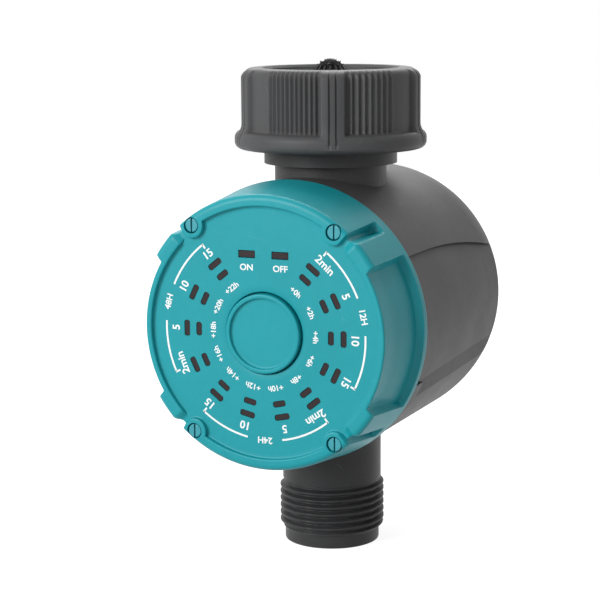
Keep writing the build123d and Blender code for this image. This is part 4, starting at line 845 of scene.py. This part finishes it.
# ---- Printed marks on the dial --------------------------------------------------------
@dataclass
class DialPrint:
    """White numbers, letters and brackets printed on the dial face."""

    film: float = 0.05
    number_radius: float = 22.8
    number_height: float = 1.85
    hour_radius: float = 13.0
    hour_height: float = 1.3
    arc_radius: float = 25.4
    stroke: float = 0.45
    tick: float = 0.9
    day_height: float = 1.5
    state_height: float = 1.45
    letter_width: float = 1.05
    minute_words: tuple = (("2min", 4.0), ("5", 0.0), ("10", 0.0), ("15", 0.0))
    brackets: tuple = (
        (38.6, 67.5, 38.6),
        (87.4, 116.6, 116.6),
        (141.0, 169.9, 141.0),
        (190.1, 218.6, 218.6),
        (244.9, 273.3, 244.9),
        (293.9, 322.1, 322.1),
    )
    day_words: tuple = ((77.5, "12H"), (180.0, "24H"), (283.8, "48H"))
    state_words: tuple = ((-4.3, "ON"), (4.3, "OFF"))
    state_level: float = 15.3

    def text(self, words: str, height: float, bold: float = 0.022) -> bpy.types.Object:
        """One word as a thin flat solid, upright and centred on the world origin.

        Args:
            words: Letters and digits.
            height: Height of a capital in millimetres.
            bold: How far the outlines are moved out, as a share of the letter size.

        Returns:
            The mesh object.
        """
        clear_selection()
        bpy.ops.object.text_add(location=(0, 0, 0))
        word = bpy.context.active_object
        word.data.body = words
        word.data.align_x = "CENTER"
        word.data.align_y = "CENTER"
        word.data.resolution_u = 3
        word.data.size = height * MM / 0.7
        word.data.offset = bold * height * MM / 0.7
        word.data.extrude = self.film * MM / 2
        word.data.space_character = 0.98
        pick(word)
        bpy.ops.object.convert(target="MESH")
        word = bpy.context.active_object
        word.matrix_world = Matrix.Rotation(math.pi / 2, 4, "X") @ Matrix.Scale(
            self.letter_width, 4, (1, 0, 0)
        )
        return settle(word)

    def place(self, piece: bpy.types.Object, radius: float, angle: float) -> bpy.types.Object:
        """Turn a word so that its top points outwards, and move it to its radius."""
        turn = math.radians(angle)
        centre = dial_point(radius * math.sin(turn), radius * math.cos(turn), -self.film / 2)
        piece.matrix_world = Matrix.Translation(centre) @ Matrix.Rotation(turn, 4, "Y")
        return settle(piece)

    def bracket(self, start: float, end: float, tick: float) -> bpy.types.Object:
        """Arc of a stroke's width with one short tick that points inwards.

        Args:
            start: First angle from the top in degrees.
            end: Last angle.
            tick: Angle of the end that carries the tick.

        Returns:
            The mesh object.
        """
        strips = []
        for low, high, inner, outer in (
            (start, end, 0.0, self.stroke),
            (tick - 0.5, tick + 0.5, -self.tick, self.stroke),
        ):
            clear_selection()
            bpy.ops.mesh.primitive_plane_add(size=MM, location=(0, 0, 0), rotation=(0, math.pi / 2, 0))
            strip = settle(bpy.context.active_object)
            edit(strip)
            bpy.ops.transform.resize(value=(1, self.film, outer - inner))
            middle = self.arc_radius + (inner + outer - self.stroke) / 2
            bpy.ops.transform.translate(value=dial_point(0, middle, -self.film / 2))
            bpy.ops.object.mode_set(mode="OBJECT")
            strip.data.transform(
                Matrix.Translation(dial_point(0, 0, 0))
                @ Matrix.Rotation(math.radians(low), 4, "Y")
                @ Matrix.Translation(-dial_point(0, 0, 0))
            )
            edit(strip)
            bpy.ops.mesh.spin(
                steps=max(2, round((high - low) / 1.5)),
                angle=-math.radians(high - low),
                center=dial_point(0, 0, 0),
                axis=(0, 1, 0),
            )
            bpy.ops.mesh.select_all(action="SELECT")
            bpy.ops.mesh.remove_doubles(threshold=0.001 * MM)
            bpy.ops.mesh.normals_make_consistent(inside=False)
            bpy.ops.object.mode_set(mode="OBJECT")
            strips.append(strip)
        return join("bracket", strips)

    def build(self) -> bpy.types.Object:
        """Make all the printed marks as one piece."""
        marks = []
        step = 360 / 14
        for n in range(12):
            angle = step * (n + 1.5)
            words, lean = self.minute_words[n % 4]
            marks.append(self.place(self.text(words, self.number_height), self.number_radius, angle + lean))
            marks.append(self.place(self.text(f"+{2 * n}h", self.hour_height), self.hour_radius, angle))
        for low, high, tick in self.brackets:
            marks.append(self.bracket(low, high, tick))
        for angle, words in self.day_words:
            marks.append(self.place(self.text(words, self.day_height), self.arc_radius, angle))
        for x, words in self.state_words:
            word = self.text(words, self.state_height)
            word.matrix_world = Matrix.Translation(dial_point(x, self.state_level, -self.film / 2))
            marks.append(settle(word))
        return join("dial_print", marks)


# ---- Swivel nut -----------------------------------------------------------------------
@dataclass
class SwivelNut:
    """Grip nut with five lobes, flutes, a flange and an inside thread."""

    steps: int = 720
    length: float = 19.8
    field_radius: float = 21.4
    top_round: float = 2.0
    flange_radius: float = 23.8
    flange_round: float = 1.8
    flange_top: float = -15.3
    lobe_radius: float = 22.6
    lobe_angles: tuple[float, ...] = (24.2, 96.2, 168.2, 240.2, 312.2)
    lobe_half_angle: float = 7.5
    groove_depth: float = 0.5
    lobe_flare: tuple[float, float] = (13.6, 17.1)
    groove_fade: tuple[float, float] = (17.2, 18.6)
    grip_end: float = 19.0
    flute_spans: tuple = ((-20.5, 16.5, 11), (32, 67, 8), (124, 160, 8), (176, 232, 13), (248, 284, 9))
    flute_depth: float = 0.65
    bore_radius: float = 15.15
    thread_root: float = 16.4
    thread_pitch: float = 1.814
    hole_radius: float = 13.3
    web_top: float = -16.8

    def profile(self) -> list[tuple[float, float, float, float]]:
        """Height, radius, share of the flutes and share of the thread at each point."""
        rows: list[tuple[float, float, float, float]] = [(-self.length, self.hole_radius, 0, 0)]
        rows.append((-self.length, 18.0, 0, 0))
        soft, top = self.flange_round, self.flange_top
        rows += [
            (z, r, 0, 0) for z, r in arc((soft - self.length, self.flange_radius - soft), soft, 180, 90, 9)
        ]
        rows += [(z, r, 0, 0) for z, r in arc((top - soft, self.flange_radius - soft), soft, 90, 0, 9)]
        rows += [
            (top + 0.1, 21.75, 0.3, 0), (top + 0.3, 21.5, 0.7, 0), (top + 0.6, self.field_radius, 1.0, 0)
        ]
        rows += [
            (z, self.field_radius, 1.0, 0) for z in (-14.2, -13.4, -12.0, -9.0, -6.0, -4.0, -3.0, -2.4)
        ]
        rounded = arc((-self.top_round, self.field_radius - self.top_round), self.top_round, 90, 0, 8)
        rows += [(z, r, 1.0 - 0.9 * n / 7, 0) for n, (z, r) in enumerate(rounded)]
        rows += [(0.0, 17.6, 0, 0), (0.0, self.thread_root + 0.6, 0, 0), (-0.6, self.thread_root, 0, 0)]
        count = 84
        rows += [(-0.7 - 14.0 * n / count, self.thread_root, 0, 1.0) for n in range(count + 1)]
        rows += [(-15.4, self.thread_root, 0, 0), (self.web_top, self.thread_root, 0, 0)]
        rows += [(self.web_top, self.hole_radius, 0, 0)]
        return rows

    def grip(self, angle: np.ndarray) -> tuple[np.ndarray, np.ndarray, np.ndarray, np.ndarray]:
        """Lobes, their grooves and the flutes around the nut.

        Args:
            angle: Angles from the front towards the right, in degrees.

        Returns:
            The lobes' share, how far their flanks fall, the grooves' share and the flutes' relief.
        """
        body, fall = np.zeros_like(angle), np.zeros_like(angle)
        groove, relief = np.zeros_like(angle), np.zeros_like(angle)
        for middle in self.lobe_angles:
            off = np.abs((angle - middle + 180) % 360 - 180)
            share = 1 - step_up(off, self.lobe_half_angle - 0.6, self.lobe_half_angle + 0.9)
            near = share > body
            body = np.maximum(body, share)
            fall = np.where(near, 0.22 * (off / self.lobe_half_angle) ** 2, fall)
            groove = np.maximum(groove, step_up(off, 1.2, 2.0) - step_up(off, 2.1, 2.9))
        for low, high, count in self.flute_spans:
            share = ((angle - low) % 360) / (high - low)
            wave = 0.5 - 0.5 * np.cos(2 * np.pi * share * count)
            relief = np.where(share <= 1, self.flute_depth * (wave**0.8 - 0.15), relief)
        return body, fall, groove, relief

    def build(self) -> bpy.types.Object:
        """Spin the nut, then raise its lobes and cut its flutes and thread."""
        rows = self.profile()
        points = [Vector((0, -r, z)) * MM for z, r, flute, thread in rows]
        nut = spin_profile("nut_shell", points, Vector((0, 0, 1)), Vector((0, 0, 0)), self.steps)
        table = np.array(rows)
        places = places_of(nut)
        radius = np.hypot(places[:, 0], places[:, 1])
        gap = (places[:, 2][:, None] - table[None, :, 0]) ** 2 + (radius[:, None] - table[None, :, 1]) ** 2
        index = gap.argmin(axis=1)
        flute, thread = table[index, 2], table[index, 3]
        angle = np.degrees(np.arctan2(places[:, 0], -places[:, 1]))
        body, fall, groove, relief = self.grip(angle)
        below = -places[:, 2]
        outer = (table[index, 1] > 18) & (below < self.grip_end)
        shoulder = below < self.top_round + 0.1
        crown = self.lobe_radius - self.field_radius
        limit = self.lobe_radius + (self.flange_radius - self.lobe_radius) * step_up(below, *self.lobe_flare)
        slack = fall * np.where(shoulder, flute, 1)
        height = np.where(shoulder, crown * flute, np.maximum(limit - radius, 0)) - slack
        height = np.where(outer, body * np.maximum(height, 0), 0)
        carved = self.groove_depth * groove * body * outer * (1 - step_up(below, *self.groove_fade))
        carved = carved * np.where(shoulder, flute, 1)
        grown = radius + height - carved - relief * flute * (1 - body)
        turns = places[:, 2] / self.thread_pitch - np.arctan2(places[:, 1], places[:, 0]) / (2 * np.pi)
        ridge = np.clip(1.35 * (0.5 + 0.5 * np.cos(2 * np.pi * turns)) - 0.15, 0, 1)
        runout = step_up(-places[:, 2], 0.7, 2.2) * (1 - step_up(-places[:, 2], 13.0, 14.6))
        grown = grown - thread * ridge * runout * (self.thread_root - self.bore_radius)
        scale = grown / radius
        places[:, 0] *= scale
        places[:, 1] *= scale
        set_places(nut, places)
        return smooth(nut, 38)


# ---- Waterway below: body, stem and threaded outlet -------------------------------------
@dataclass
class ThreadedOutlet:
    """Valve body whose lower end carries a real helical pipe thread."""

    steps: int = 240
    crest_radius: float = 13.22
    root_radius: float = 12.06
    pitch: float = 1.814
    turns: int = 7
    stem_radius: float = 12.5
    pilot_radius: float = 11.96
    body_radius: float = 13.9
    bore_radius: float = 9.5
    throat_radius: float = 6.0
    chamber_radius: float = 10.03
    bottom: float = -119.7
    pilot_length: float = 3.0
    flat_offset: float = 12.6
    flat_half_height: float = 15.0
    gland_radius: float = 4.63
    body_half_height: float = 22.0
    chamber_drop: float = 10.0
    edge: float = 0.3

    def build(self) -> bpy.types.Object:
        """Spin the body, wind its thread and cut the gland's flat and holes."""
        low = self.bottom + self.pilot_length
        high = low + self.pitch * self.turns
        rows = [(self.bottom, self.bore_radius + 0.3, 0), (self.bottom, self.pilot_radius - 0.4, 0)]
        rows += [
            (self.bottom + 0.12, self.pilot_radius - 0.12, 0), (self.bottom + 0.4, self.pilot_radius, 0)
        ]
        rows += [(low - 0.4, self.pilot_radius, 0)]
        count = 16 * self.turns
        rows += [(low + (high - low) * n / count, self.root_radius, 1) for n in range(count + 1)]
        rows += [(high + 0.15, self.root_radius, 0), (high + 0.35, self.stem_radius, 0)]
        top, foot = DIAL_Z + self.body_half_height, DIAL_Z - self.body_half_height
        floor, edge = DIAL_Z - self.chamber_drop, self.edge
        rows += [(foot - edge, self.stem_radius, 0), (foot, self.stem_radius + edge, 0)]
        rows += [(foot, self.body_radius - edge, 0), (foot + edge, self.body_radius, 0)]
        rows += [(top - edge, self.body_radius, 0), (top, self.body_radius - edge, 0)]
        rows += [(top, self.chamber_radius + edge, 0), (top - edge, self.chamber_radius, 0)]
        rows += [(floor, self.chamber_radius, 0), (floor, self.throat_radius + edge, 0)]
        rows += [(floor - edge, self.throat_radius, 0), (foot, self.throat_radius, 0)]
        rows += [(foot, self.bore_radius, 0), (self.bottom + edge, self.bore_radius, 0)]
        points = [Vector((0, -r, z)) * MM for z, r, thread in rows]
        body = spin_profile("outlet_shell", points, Vector((0, 0, 1)), Vector((0, 0, 0)), self.steps)
        places = places_of(body)
        radius = np.hypot(places[:, 0], places[:, 1])
        around = np.arctan2(places[:, 1], places[:, 0]) / (2 * np.pi)
        on_root = radius > self.root_radius - 0.02
        threaded = on_root & (places[:, 2] > low - 0.01) & (places[:, 2] < high + 0.01)
        turns = (places[:, 2] - low) / self.pitch - around
        wave = 0.5 - 0.5 * np.cos(2 * np.pi * turns)
        ridge = np.clip(1.25 * wave - 0.08, 0, 1)
        runin = step_up(places[:, 2], low - 0.2, low + 1.6) * (
            1 - step_up(places[:, 2], high - 0.9, high + 0.1)
        )
        rise = np.where(threaded, ridge * runin * (self.crest_radius - self.root_radius), 0)
        scale = (radius + rise) / radius
        places[:, 0] *= scale
        places[:, 1] *= scale
        set_places(body, places)
        clear_selection()
        bpy.ops.mesh.primitive_cube_add(size=MM, location=(0, 0, 0))
        block = bpy.context.active_object
        edit(block)
        bpy.ops.transform.resize(value=(30, 4, 2 * self.flat_half_height))
        bpy.ops.transform.translate(value=Vector((0, -self.flat_offset - 2, DIAL_Z)) * MM)
        bpy.ops.object.mode_set(mode="OBJECT")
        cut(body, [block])
        clear_selection()
        bpy.ops.mesh.primitive_cylinder_add(
            vertices=64,
            radius=self.gland_radius * MM,
            depth=20 * MM,
            location=Vector((0, -15, DIAL_Z)) * MM,
            rotation=(math.pi / 2, 0, 0),
        )
        cut(body, [settle(bpy.context.active_object)])
        return smooth(body, 34)


# ---- Inlet filter ---------------------------------------------------------------------
@dataclass
class ConeFilter:
    """Mesh cone with ribs, a domed tip and a flat rim under the nut's mouth."""

    foot: float = -8.8
    rim_thickness: float = 1.0
    rim_radius: float = 14.6
    base_radius: float = 10.6
    tip_radius: float = 2.95
    tip_height: float = 1.7
    dome_rise: float = 1.5
    spike_rings: tuple = ((78, 16), (52, 12), (27, 7), (0, 1))
    spike_length: float = 0.65
    spike_width: float = 0.27
    ribs: int = 16
    rib_height: float = 0.3
    rib_width: float = 0.5
    strand: float = 0.16

    def cone_points(self, grow: float, rows: int) -> list[tuple[float, float]]:
        """Radius and height of points up the cone and over the tip."""
        straight_top = self.tip_height - self.dome_rise
        points = [
            (
                self.base_radius + (self.tip_radius - self.base_radius) * n / rows + grow,
                self.foot + (straight_top - self.foot) * n / rows + grow * n / rows,
            )
            for n in range(rows + 1)
        ]
        for n in range(1, 7):
            turn = math.pi / 2 * n / 6
            points.append((
                (self.tip_radius + grow) * math.cos(turn),
                straight_top + grow + self.dome_rise * math.sin(turn),
            ))
        return points

    def spikes(self) -> list[bpy.types.Object]:
        """Small four-sided points that stand on the dome."""
        clear_selection()
        bpy.ops.mesh.primitive_cone_add(
            vertices=4,
            radius1=self.spike_width * MM,
            radius2=0,
            depth=self.spike_length * MM,
            location=(0, 0, 0),
        )
        first = settle(bpy.context.active_object)
        points = []
        for tilt, count in self.spike_rings:
            lean = math.radians(tilt)
            for n in range(count):
                around = 2 * math.pi * (n + 0.25 * (tilt // 26 % 2)) / count
                spike = bpy.data.objects.new("spike", first.data.copy())
                bpy.context.scene.collection.objects.link(spike)
                foot = Vector((
                    self.tip_radius * math.sin(lean) * math.cos(around),
                    self.tip_radius * math.sin(lean) * math.sin(around),
                    self.tip_height - self.dome_rise + self.dome_rise * math.cos(lean),
                ))
                way = Vector(
                    (math.sin(lean) * math.cos(around), math.sin(lean) * math.sin(around), math.cos(lean))
                )
                if tilt:
                    way = Vector((way.x * 0.8, way.y * 0.8, way.z + 0.35)).normalized()
                spike.matrix_world = Matrix.Translation(
                    (foot + way * (self.spike_length / 2 - 0.08)) * MM
                ) @ (
                    way.to_track_quat("Z", "Y").to_matrix().to_4x4()
                )
                points.append(settle(spike))
        bpy.data.objects.remove(first)
        return points

    def build(self) -> bpy.types.Object:
        """Make the mesh, its ribs and the rim, and join them."""
        rows = self.cone_points(0, 26)[:-1] + [(0.25, self.tip_height)]
        points = [Vector((0, -r, z)) * MM for r, z in rows]
        net = spin_profile("filter_net", points, Vector((0, 0, 1)), Vector((0, 0, 0)), 96, closed=False)
        wire = net.modifiers.new("strands", "WIREFRAME")
        wire.thickness = self.strand * MM
        wire.use_even_offset = False
        pick(net)
        bpy.ops.object.modifier_apply(modifier=wire.name)
        fins = []
        outer, inner = self.cone_points(self.rib_height, 8)[:9], self.cone_points(-0.2, 8)[:9]
        outline = [Vector((0, -r, z)) * MM for r, z in outer + inner[::-1]]
        for n in range(self.ribs):
            clear_selection()
            bpy.ops.mesh.primitive_plane_add(size=MM, location=(0, 0, 0))
            fin = bpy.context.active_object
            edit(fin)
            bpy.ops.mesh.merge(type="CENTER")
            bpy.ops.transform.translate(value=outline[0])
            for start, end in zip(outline, outline[1:]):
                bpy.ops.mesh.extrude_vertices_move(TRANSFORM_OT_translate={"value": end - start})
            bpy.ops.mesh.select_all(action="SELECT")
            bpy.ops.mesh.edge_face_add()
            bpy.ops.transform.translate(value=(-self.rib_width / 2 * MM, 0, 0))
            bpy.ops.mesh.extrude_region_move(TRANSFORM_OT_translate={"value": (self.rib_width * MM, 0, 0)})
            bpy.ops.mesh.select_all(action="SELECT")
            bpy.ops.mesh.normals_make_consistent(inside=False)
            bpy.ops.object.mode_set(mode="OBJECT")
            fin.matrix_world = Matrix.Rotation(2 * math.pi * n / self.ribs, 4, "Z")
            fins.append(settle(fin))
        low = self.foot - self.rim_thickness
        section = [
            (self.base_radius - 0.8, low), (self.rim_radius - 0.2, low), (self.rim_radius, low + 0.2)
        ]
        section += [(self.rim_radius, self.foot - 0.2), (self.rim_radius - 0.2, self.foot)]
        section += [(self.base_radius + 0.5, self.foot), (self.base_radius + 0.2, self.foot + 0.5)]
        section += [(self.base_radius - 0.8, self.foot + 0.5)]
        points = [Vector((0, -r, z)) * MM for r, z in section]
        rim = spin_profile("filter_rim", points, Vector((0, 0, 1)), Vector((0, 0, 0)), 144)
        cap = [(0.0, self.tip_height - 0.25), (1.3, self.tip_height - 0.35), (1.3, self.tip_height)]
        cap += [(0.9, self.tip_height + 0.35), (0.0, self.tip_height + 0.45)]
        points = [Vector((0, -r, z)) * MM for r, z in cap]
        crown = spin_profile("filter_crown", points, Vector((0, 0, 1)), Vector((0, 0, 0)), 48, closed=False)
        return smooth(join("filter_cone", [net, rim, crown] + fins + self.spikes()), 30)


# ---- Start button -----------------------------------------------------------------------
@dataclass
class StartButton:
    """Round push button with a shallow dish inside a soft rim, and its flange behind the face."""

    steps: int = 192
    radius: float = 9.4
    rise: float = 1.15
    dish_depth: float = 0.85
    rim_inner: float = 8.35
    dish_round: float = 0.4
    inner_round: float = 0.25
    outer_round: float = 0.42
    flange_edge: float = 0.15
    flange_radius: float = 10.6
    flange_depths: tuple[float, float] = (2.05, 3.05)
    boss_radius: float = 2.0
    boss_end: float = 3.8

    def build(self) -> bpy.types.Object:
        """Spin the button about the dial's axis."""
        floor = self.dish_depth - self.rise
        front, back = self.flange_depths
        rows = [(floor, 0.0), (floor, 4.0), (floor, self.rim_inner - 0.75)]
        dish, inner, outer = self.dish_round, self.inner_round, self.outer_round
        rows += arc((floor - dish, self.rim_inner - dish), dish, 0, 90, 5)
        rows += arc((inner - self.rise, self.rim_inner + inner), inner, 270, 180, 5)
        rows += arc((outer - self.rise, self.radius - outer), outer, 180, 90, 7)
        rows += [(0.6, self.radius), (front, self.radius), (front, self.flange_radius - self.flange_edge)]
        rows += [(front + self.flange_edge, self.flange_radius), (back, self.flange_radius)]
        rows += [(back, self.boss_radius)]
        rows += [(self.boss_end, self.boss_radius), (self.boss_end, 0.0)]
        points = [dial_point(0, radius, depth) for depth, radius in rows]
        button = spin_profile(
            "button_cap", points, Vector((0, 1, 0)), dial_point(0, 0, 0), self.steps, closed=False
        )
        return smooth(button, 35)


@dataclass
class ReturnCone:
    """Silicone cone between the button and the board, in its rest shape; the mesh doesn't flatten when the
    button goes in.
    """

    steps: int = 96
    depths: tuple[float, float] = (3.05, 8.0)
    front_radius: float = 5.4
    back_radius: float = 7.2
    wall: float = 1.2
    travel: float = 0.8

    def build(self) -> bpy.types.Object:
        """Spin the cone about the dial's axis."""
        front, back = self.depths
        rows = [(front, self.front_radius), (front, self.front_radius + self.wall)]
        rows += [(back, self.back_radius + self.wall), (back, self.back_radius)]
        points = [dial_point(0, radius, depth) for depth, radius in rows]
        cone = spin_profile("return_cone", points, Vector((0, 1, 0)), dial_point(0, 0, 0), self.steps)
        return smooth(cone, 35)

    def flatten(self, cone: bpy.types.Object) -> None:
        """Give the finished cone its own copy of its mesh."""
        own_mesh(cone)


# ---- Face screws ------------------------------------------------------------------------
@dataclass
class FaceScrews:
    """Four slotted screws sunk in the bezel's bosses."""

    centres: tuple[float, float] = (18.013, 24.612)
    head_radius: float = 1.65
    head_depths: tuple[float, float] = (-0.9, 0.9)
    shank_radius: float = 1.25
    shank_end: float = 27.0
    slot_width: float = 0.42
    slot_depth: float = 0.9

    def build(self) -> bpy.types.Object:
        """Spin one screw, cut its slot and copy it to the four bosses."""
        front, back = self.head_depths
        rows = [(front, 0.0), (front, self.head_radius - 0.3)]
        rows += arc((front + 0.25, self.head_radius - 0.25), 0.25, 180, 90, 5)
        rows += [
            (back, self.head_radius), (back, self.shank_radius), (self.shank_end - 0.6, self.shank_radius)
        ]
        rows += [(self.shank_end, self.shank_radius - 0.5), (self.shank_end, 0.0)]
        points = [dial_point(0, radius, depth) for depth, radius in rows]
        screw = spin_profile("screw_one", points, Vector((0, 1, 0)), dial_point(0, 0, 0), 48, closed=False)
        clear_selection()
        bpy.ops.mesh.primitive_cube_add(size=MM, location=(0, 0, 0))
        blade = bpy.context.active_object
        edit(blade)
        bpy.ops.transform.resize(value=(self.slot_width, 2 * self.slot_depth, 3 * self.head_radius))
        bpy.ops.transform.translate(value=dial_point(0, 0, front))
        bpy.ops.object.mode_set(mode="OBJECT")
        cut(screw, [blade])
        x, y = self.centres
        screws = []
        for side, up in ((1, 1), (-1, 1), (-1, -1), (1, -1)):
            twin = bpy.data.objects.new("screw_twin", screw.data.copy())
            bpy.context.scene.collection.objects.link(twin)
            twin.matrix_world = Matrix.Translation(Vector((side * x, 0, up * y)) * MM)
            screws.append(settle(twin))
        bpy.data.objects.remove(screw)
        return smooth(join("screw_heads", screws), 30)


# ---- Studio ---------------------------------------------------------------------------
@dataclass
class Studio:
    """Camera, soft lights, white floor and world."""

    azimuth: float = 23.86
    elevation: float = 9.64
    roll: float = -0.39
    distance: float = 427.45
    aim_shift: tuple[float, float] = (-8.37, -7.79)
    lens: float = 110.43
    lamps: tuple = (
        ("key_light", (-0.38, -0.84, 0.32), 0.5, 8.6),
        ("top_light", (-0.15, 0.50, 0.60), 0.6, 7.0),
        ("fill_light", (0.75, -0.45, 0.05), 0.6, 0.15),
        ("rim_light", (0.60, 0.55, 0.15), 0.4, 0.2),
    )
    lamp_target: tuple[float, float, float] = (0, -0.01, -0.06)
    world_strength: float = 0.28
    floor_size: float = 1.8
    floor_gap: float = 0.00002
    floor_grey: float = 0.45
    floor_glow: float = 0.88
    shadow_grey: float = 0.35

    def add_camera(self) -> None:
        """Stand the camera at the catalogue view."""
        a, e, r = (math.radians(v) for v in (self.azimuth, self.elevation, self.roll))
        back = Vector((math.sin(a) * math.cos(e), -math.cos(a) * math.cos(e), math.sin(e)))
        flat_right = Vector((math.cos(a), math.sin(a), 0))
        flat_up = back.cross(flat_right)
        right = math.cos(r) * flat_right + math.sin(r) * flat_up
        up = -math.sin(r) * flat_right + math.cos(r) * flat_up
        target = Vector((0, FACE_Y, DIAL_Z))
        place = target + back * self.distance - right * self.aim_shift[0] - up * self.aim_shift[1]
        data = bpy.data.cameras.new("view_camera")
        data.lens = self.lens
        data.sensor_width = 36.0
        camera = bpy.data.objects.new("view_camera", data)
        bpy.context.scene.collection.objects.link(camera)
        camera.matrix_world = Matrix.Translation(place * MM) @ Matrix(
            (
                (right.x, up.x, back.x, 0),
                (right.y, up.y, back.y, 0),
                (right.z, up.z, back.z, 0),
                (0, 0, 0, 1),
            )
        )
        bpy.context.scene.camera = camera

    def add_lamp(self, name: str, place: tuple[float, float, float], size: float, watts: float) -> None:
        """Add one square soft light that faces the part's middle.

        Args:
            name: Name of the light.
            place: Its place in metres.
            size: Length of its side in metres.
            watts: Its power.
        """
        data = bpy.data.lights.new(name, "AREA")
        data.shape = "SQUARE"
        data.size = size
        data.energy = watts
        lamp = bpy.data.objects.new(name, data)
        bpy.context.scene.collection.objects.link(lamp)
        towards = Vector(self.lamp_target) - Vector(place)
        turn = towards.to_track_quat("-Z", "Y").to_matrix().to_4x4()
        lamp.matrix_world = Matrix.Translation(place) @ turn

    def add_world(self) -> None:
        """White for what the camera, gloss and glass see, and a dim even light."""
        world = bpy.data.worlds.new("studio_world")
        world.use_nodes = True
        bpy.context.scene.world = world
        w = Weaver(world.node_tree)
        background = world.node_tree.nodes["Background"]
        path = w.add("LightPath")
        seen = w.math("MAXIMUM", path.outputs["Is Camera Ray"], path.outputs["Is Transmission Ray"])
        shown = w.math("MAXIMUM", seen, path.outputs["Is Glossy Ray"])
        world.node_tree.links.new(
            w.spread(shown, 0.0, 1.0, self.world_strength, 1.0), background.inputs["Strength"]
        )
        background.inputs["Color"].default_value = (1, 1, 1, 1)

    def add_floor(self) -> None:
        """Pale floor under the outlet that keeps a soft shadow."""
        clear_selection()
        bpy.ops.mesh.primitive_plane_add(
            size=self.floor_size, location=(0, 0, cad_box[0].z - self.floor_gap)
        )
        floor = settle(bpy.context.active_object)
        floor.name = "studio_floor"
        material = bpy.data.materials.new("studio_floor")
        material.use_nodes = True
        w = Weaver(material.node_tree)
        tree = material.node_tree
        shader = tree.nodes["Principled BSDF"]
        shader.inputs["Base Color"].default_value = (self.floor_grey,) * 3 + (1,)
        shader.inputs["Roughness"].default_value = 0.9
        shader.inputs["Specular IOR Level"].default_value = 0.0
        path = w.add("LightPath")
        seen = w.math("MAXIMUM", path.outputs["Is Camera Ray"], path.outputs["Is Transmission Ray"])
        seen = w.math("MAXIMUM", seen, path.outputs["Is Glossy Ray"])
        glow = w.add("Emission", Color=(1, 1, 1, 1), Strength=self.floor_glow)
        dim = w.add("BsdfDiffuse", Color=(self.shadow_grey,) * 3 + (1,))
        lit = w.add("AddShader", i0=glow.outputs[0], i1=dim.outputs[0])
        mixed = w.add("MixShader", Fac=seen, i1=shader.outputs[0], i2=lit.outputs[0])
        tree.links.new(mixed.outputs[0], tree.nodes["Material Output"].inputs["Surface"])
        floor.data.materials.append(material)

    def build(self) -> None:
        """Set up the whole studio."""
        self.add_camera()
        for name, place, size, watts in self.lamps:
            self.add_lamp(name, place, size, watts)
        self.add_world()
        self.add_floor()
        bpy.context.scene.view_settings.view_transform = "Standard"


# ---- Assembly ---------------------------------------------------------------------------
def stand_in(
    piece: bpy.types.Object, rack: FinishRack, finish: str, body: str, slot: str, *nodes: str
) -> None:
    """Dress a finished piece, tie it to its body and hide the parts it stands for.

    Args:
        piece: The finished piece.
        rack: The rack of materials.
        finish: Name of its finish.
        body: Name of the body it moves with.
        slot: Name of its slot in the record; not used.
        nodes: Names of the parts it stands for.
    """
    rack.put_on(piece, finish)
    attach(piece, body)
    if nodes:
        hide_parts(*nodes)
    log.info("%s: %d faces", piece.name, len(piece.data.polygons))


def main() -> None:
    """Build the studio, the finishes and the finer pieces, in order."""
    logging.basicConfig(level=logging.INFO, format="%(name)s %(message)s")
    Studio().build()
    rack = FinishRack()
    rack.fill()
    rack.dress_parts()
    stand_in(FrontBezel().build(), rack, "teal_plastic", "timer_body", "teal_plastic", "front_bezel")
    stand_in(DialPrint().build(), rack, "dial_ink", "timer_body", "teal_plastic")
    stand_in(SwivelNut().build(), rack, "dark_plastic", "inlet_nut", "dark_plastic", "inlet_nut")
    stand_in(ThreadedOutlet().build(), rack, "black_plastic", "timer_body", "black_plastic", "valve_body")
    stand_in(ConeFilter().build(), rack, "filter_plastic", "inlet_nut", "filter_plastic", "inlet_filter")
    stand_in(StartButton().build(), rack, "teal_plastic", "start_button", "teal_plastic", "start_button")
    cone = ReturnCone()
    silicone = cone.build()
    stand_in(silicone, rack, "silicone", "timer_body", "silicone", "button_spring")
    cone.flatten(silicone)
    stand_in(FaceScrews().build(), rack, "face_screw", "timer_body", "face_screw", "face_screws")
    clear_selection()


if __name__ == "__main__":
    main()
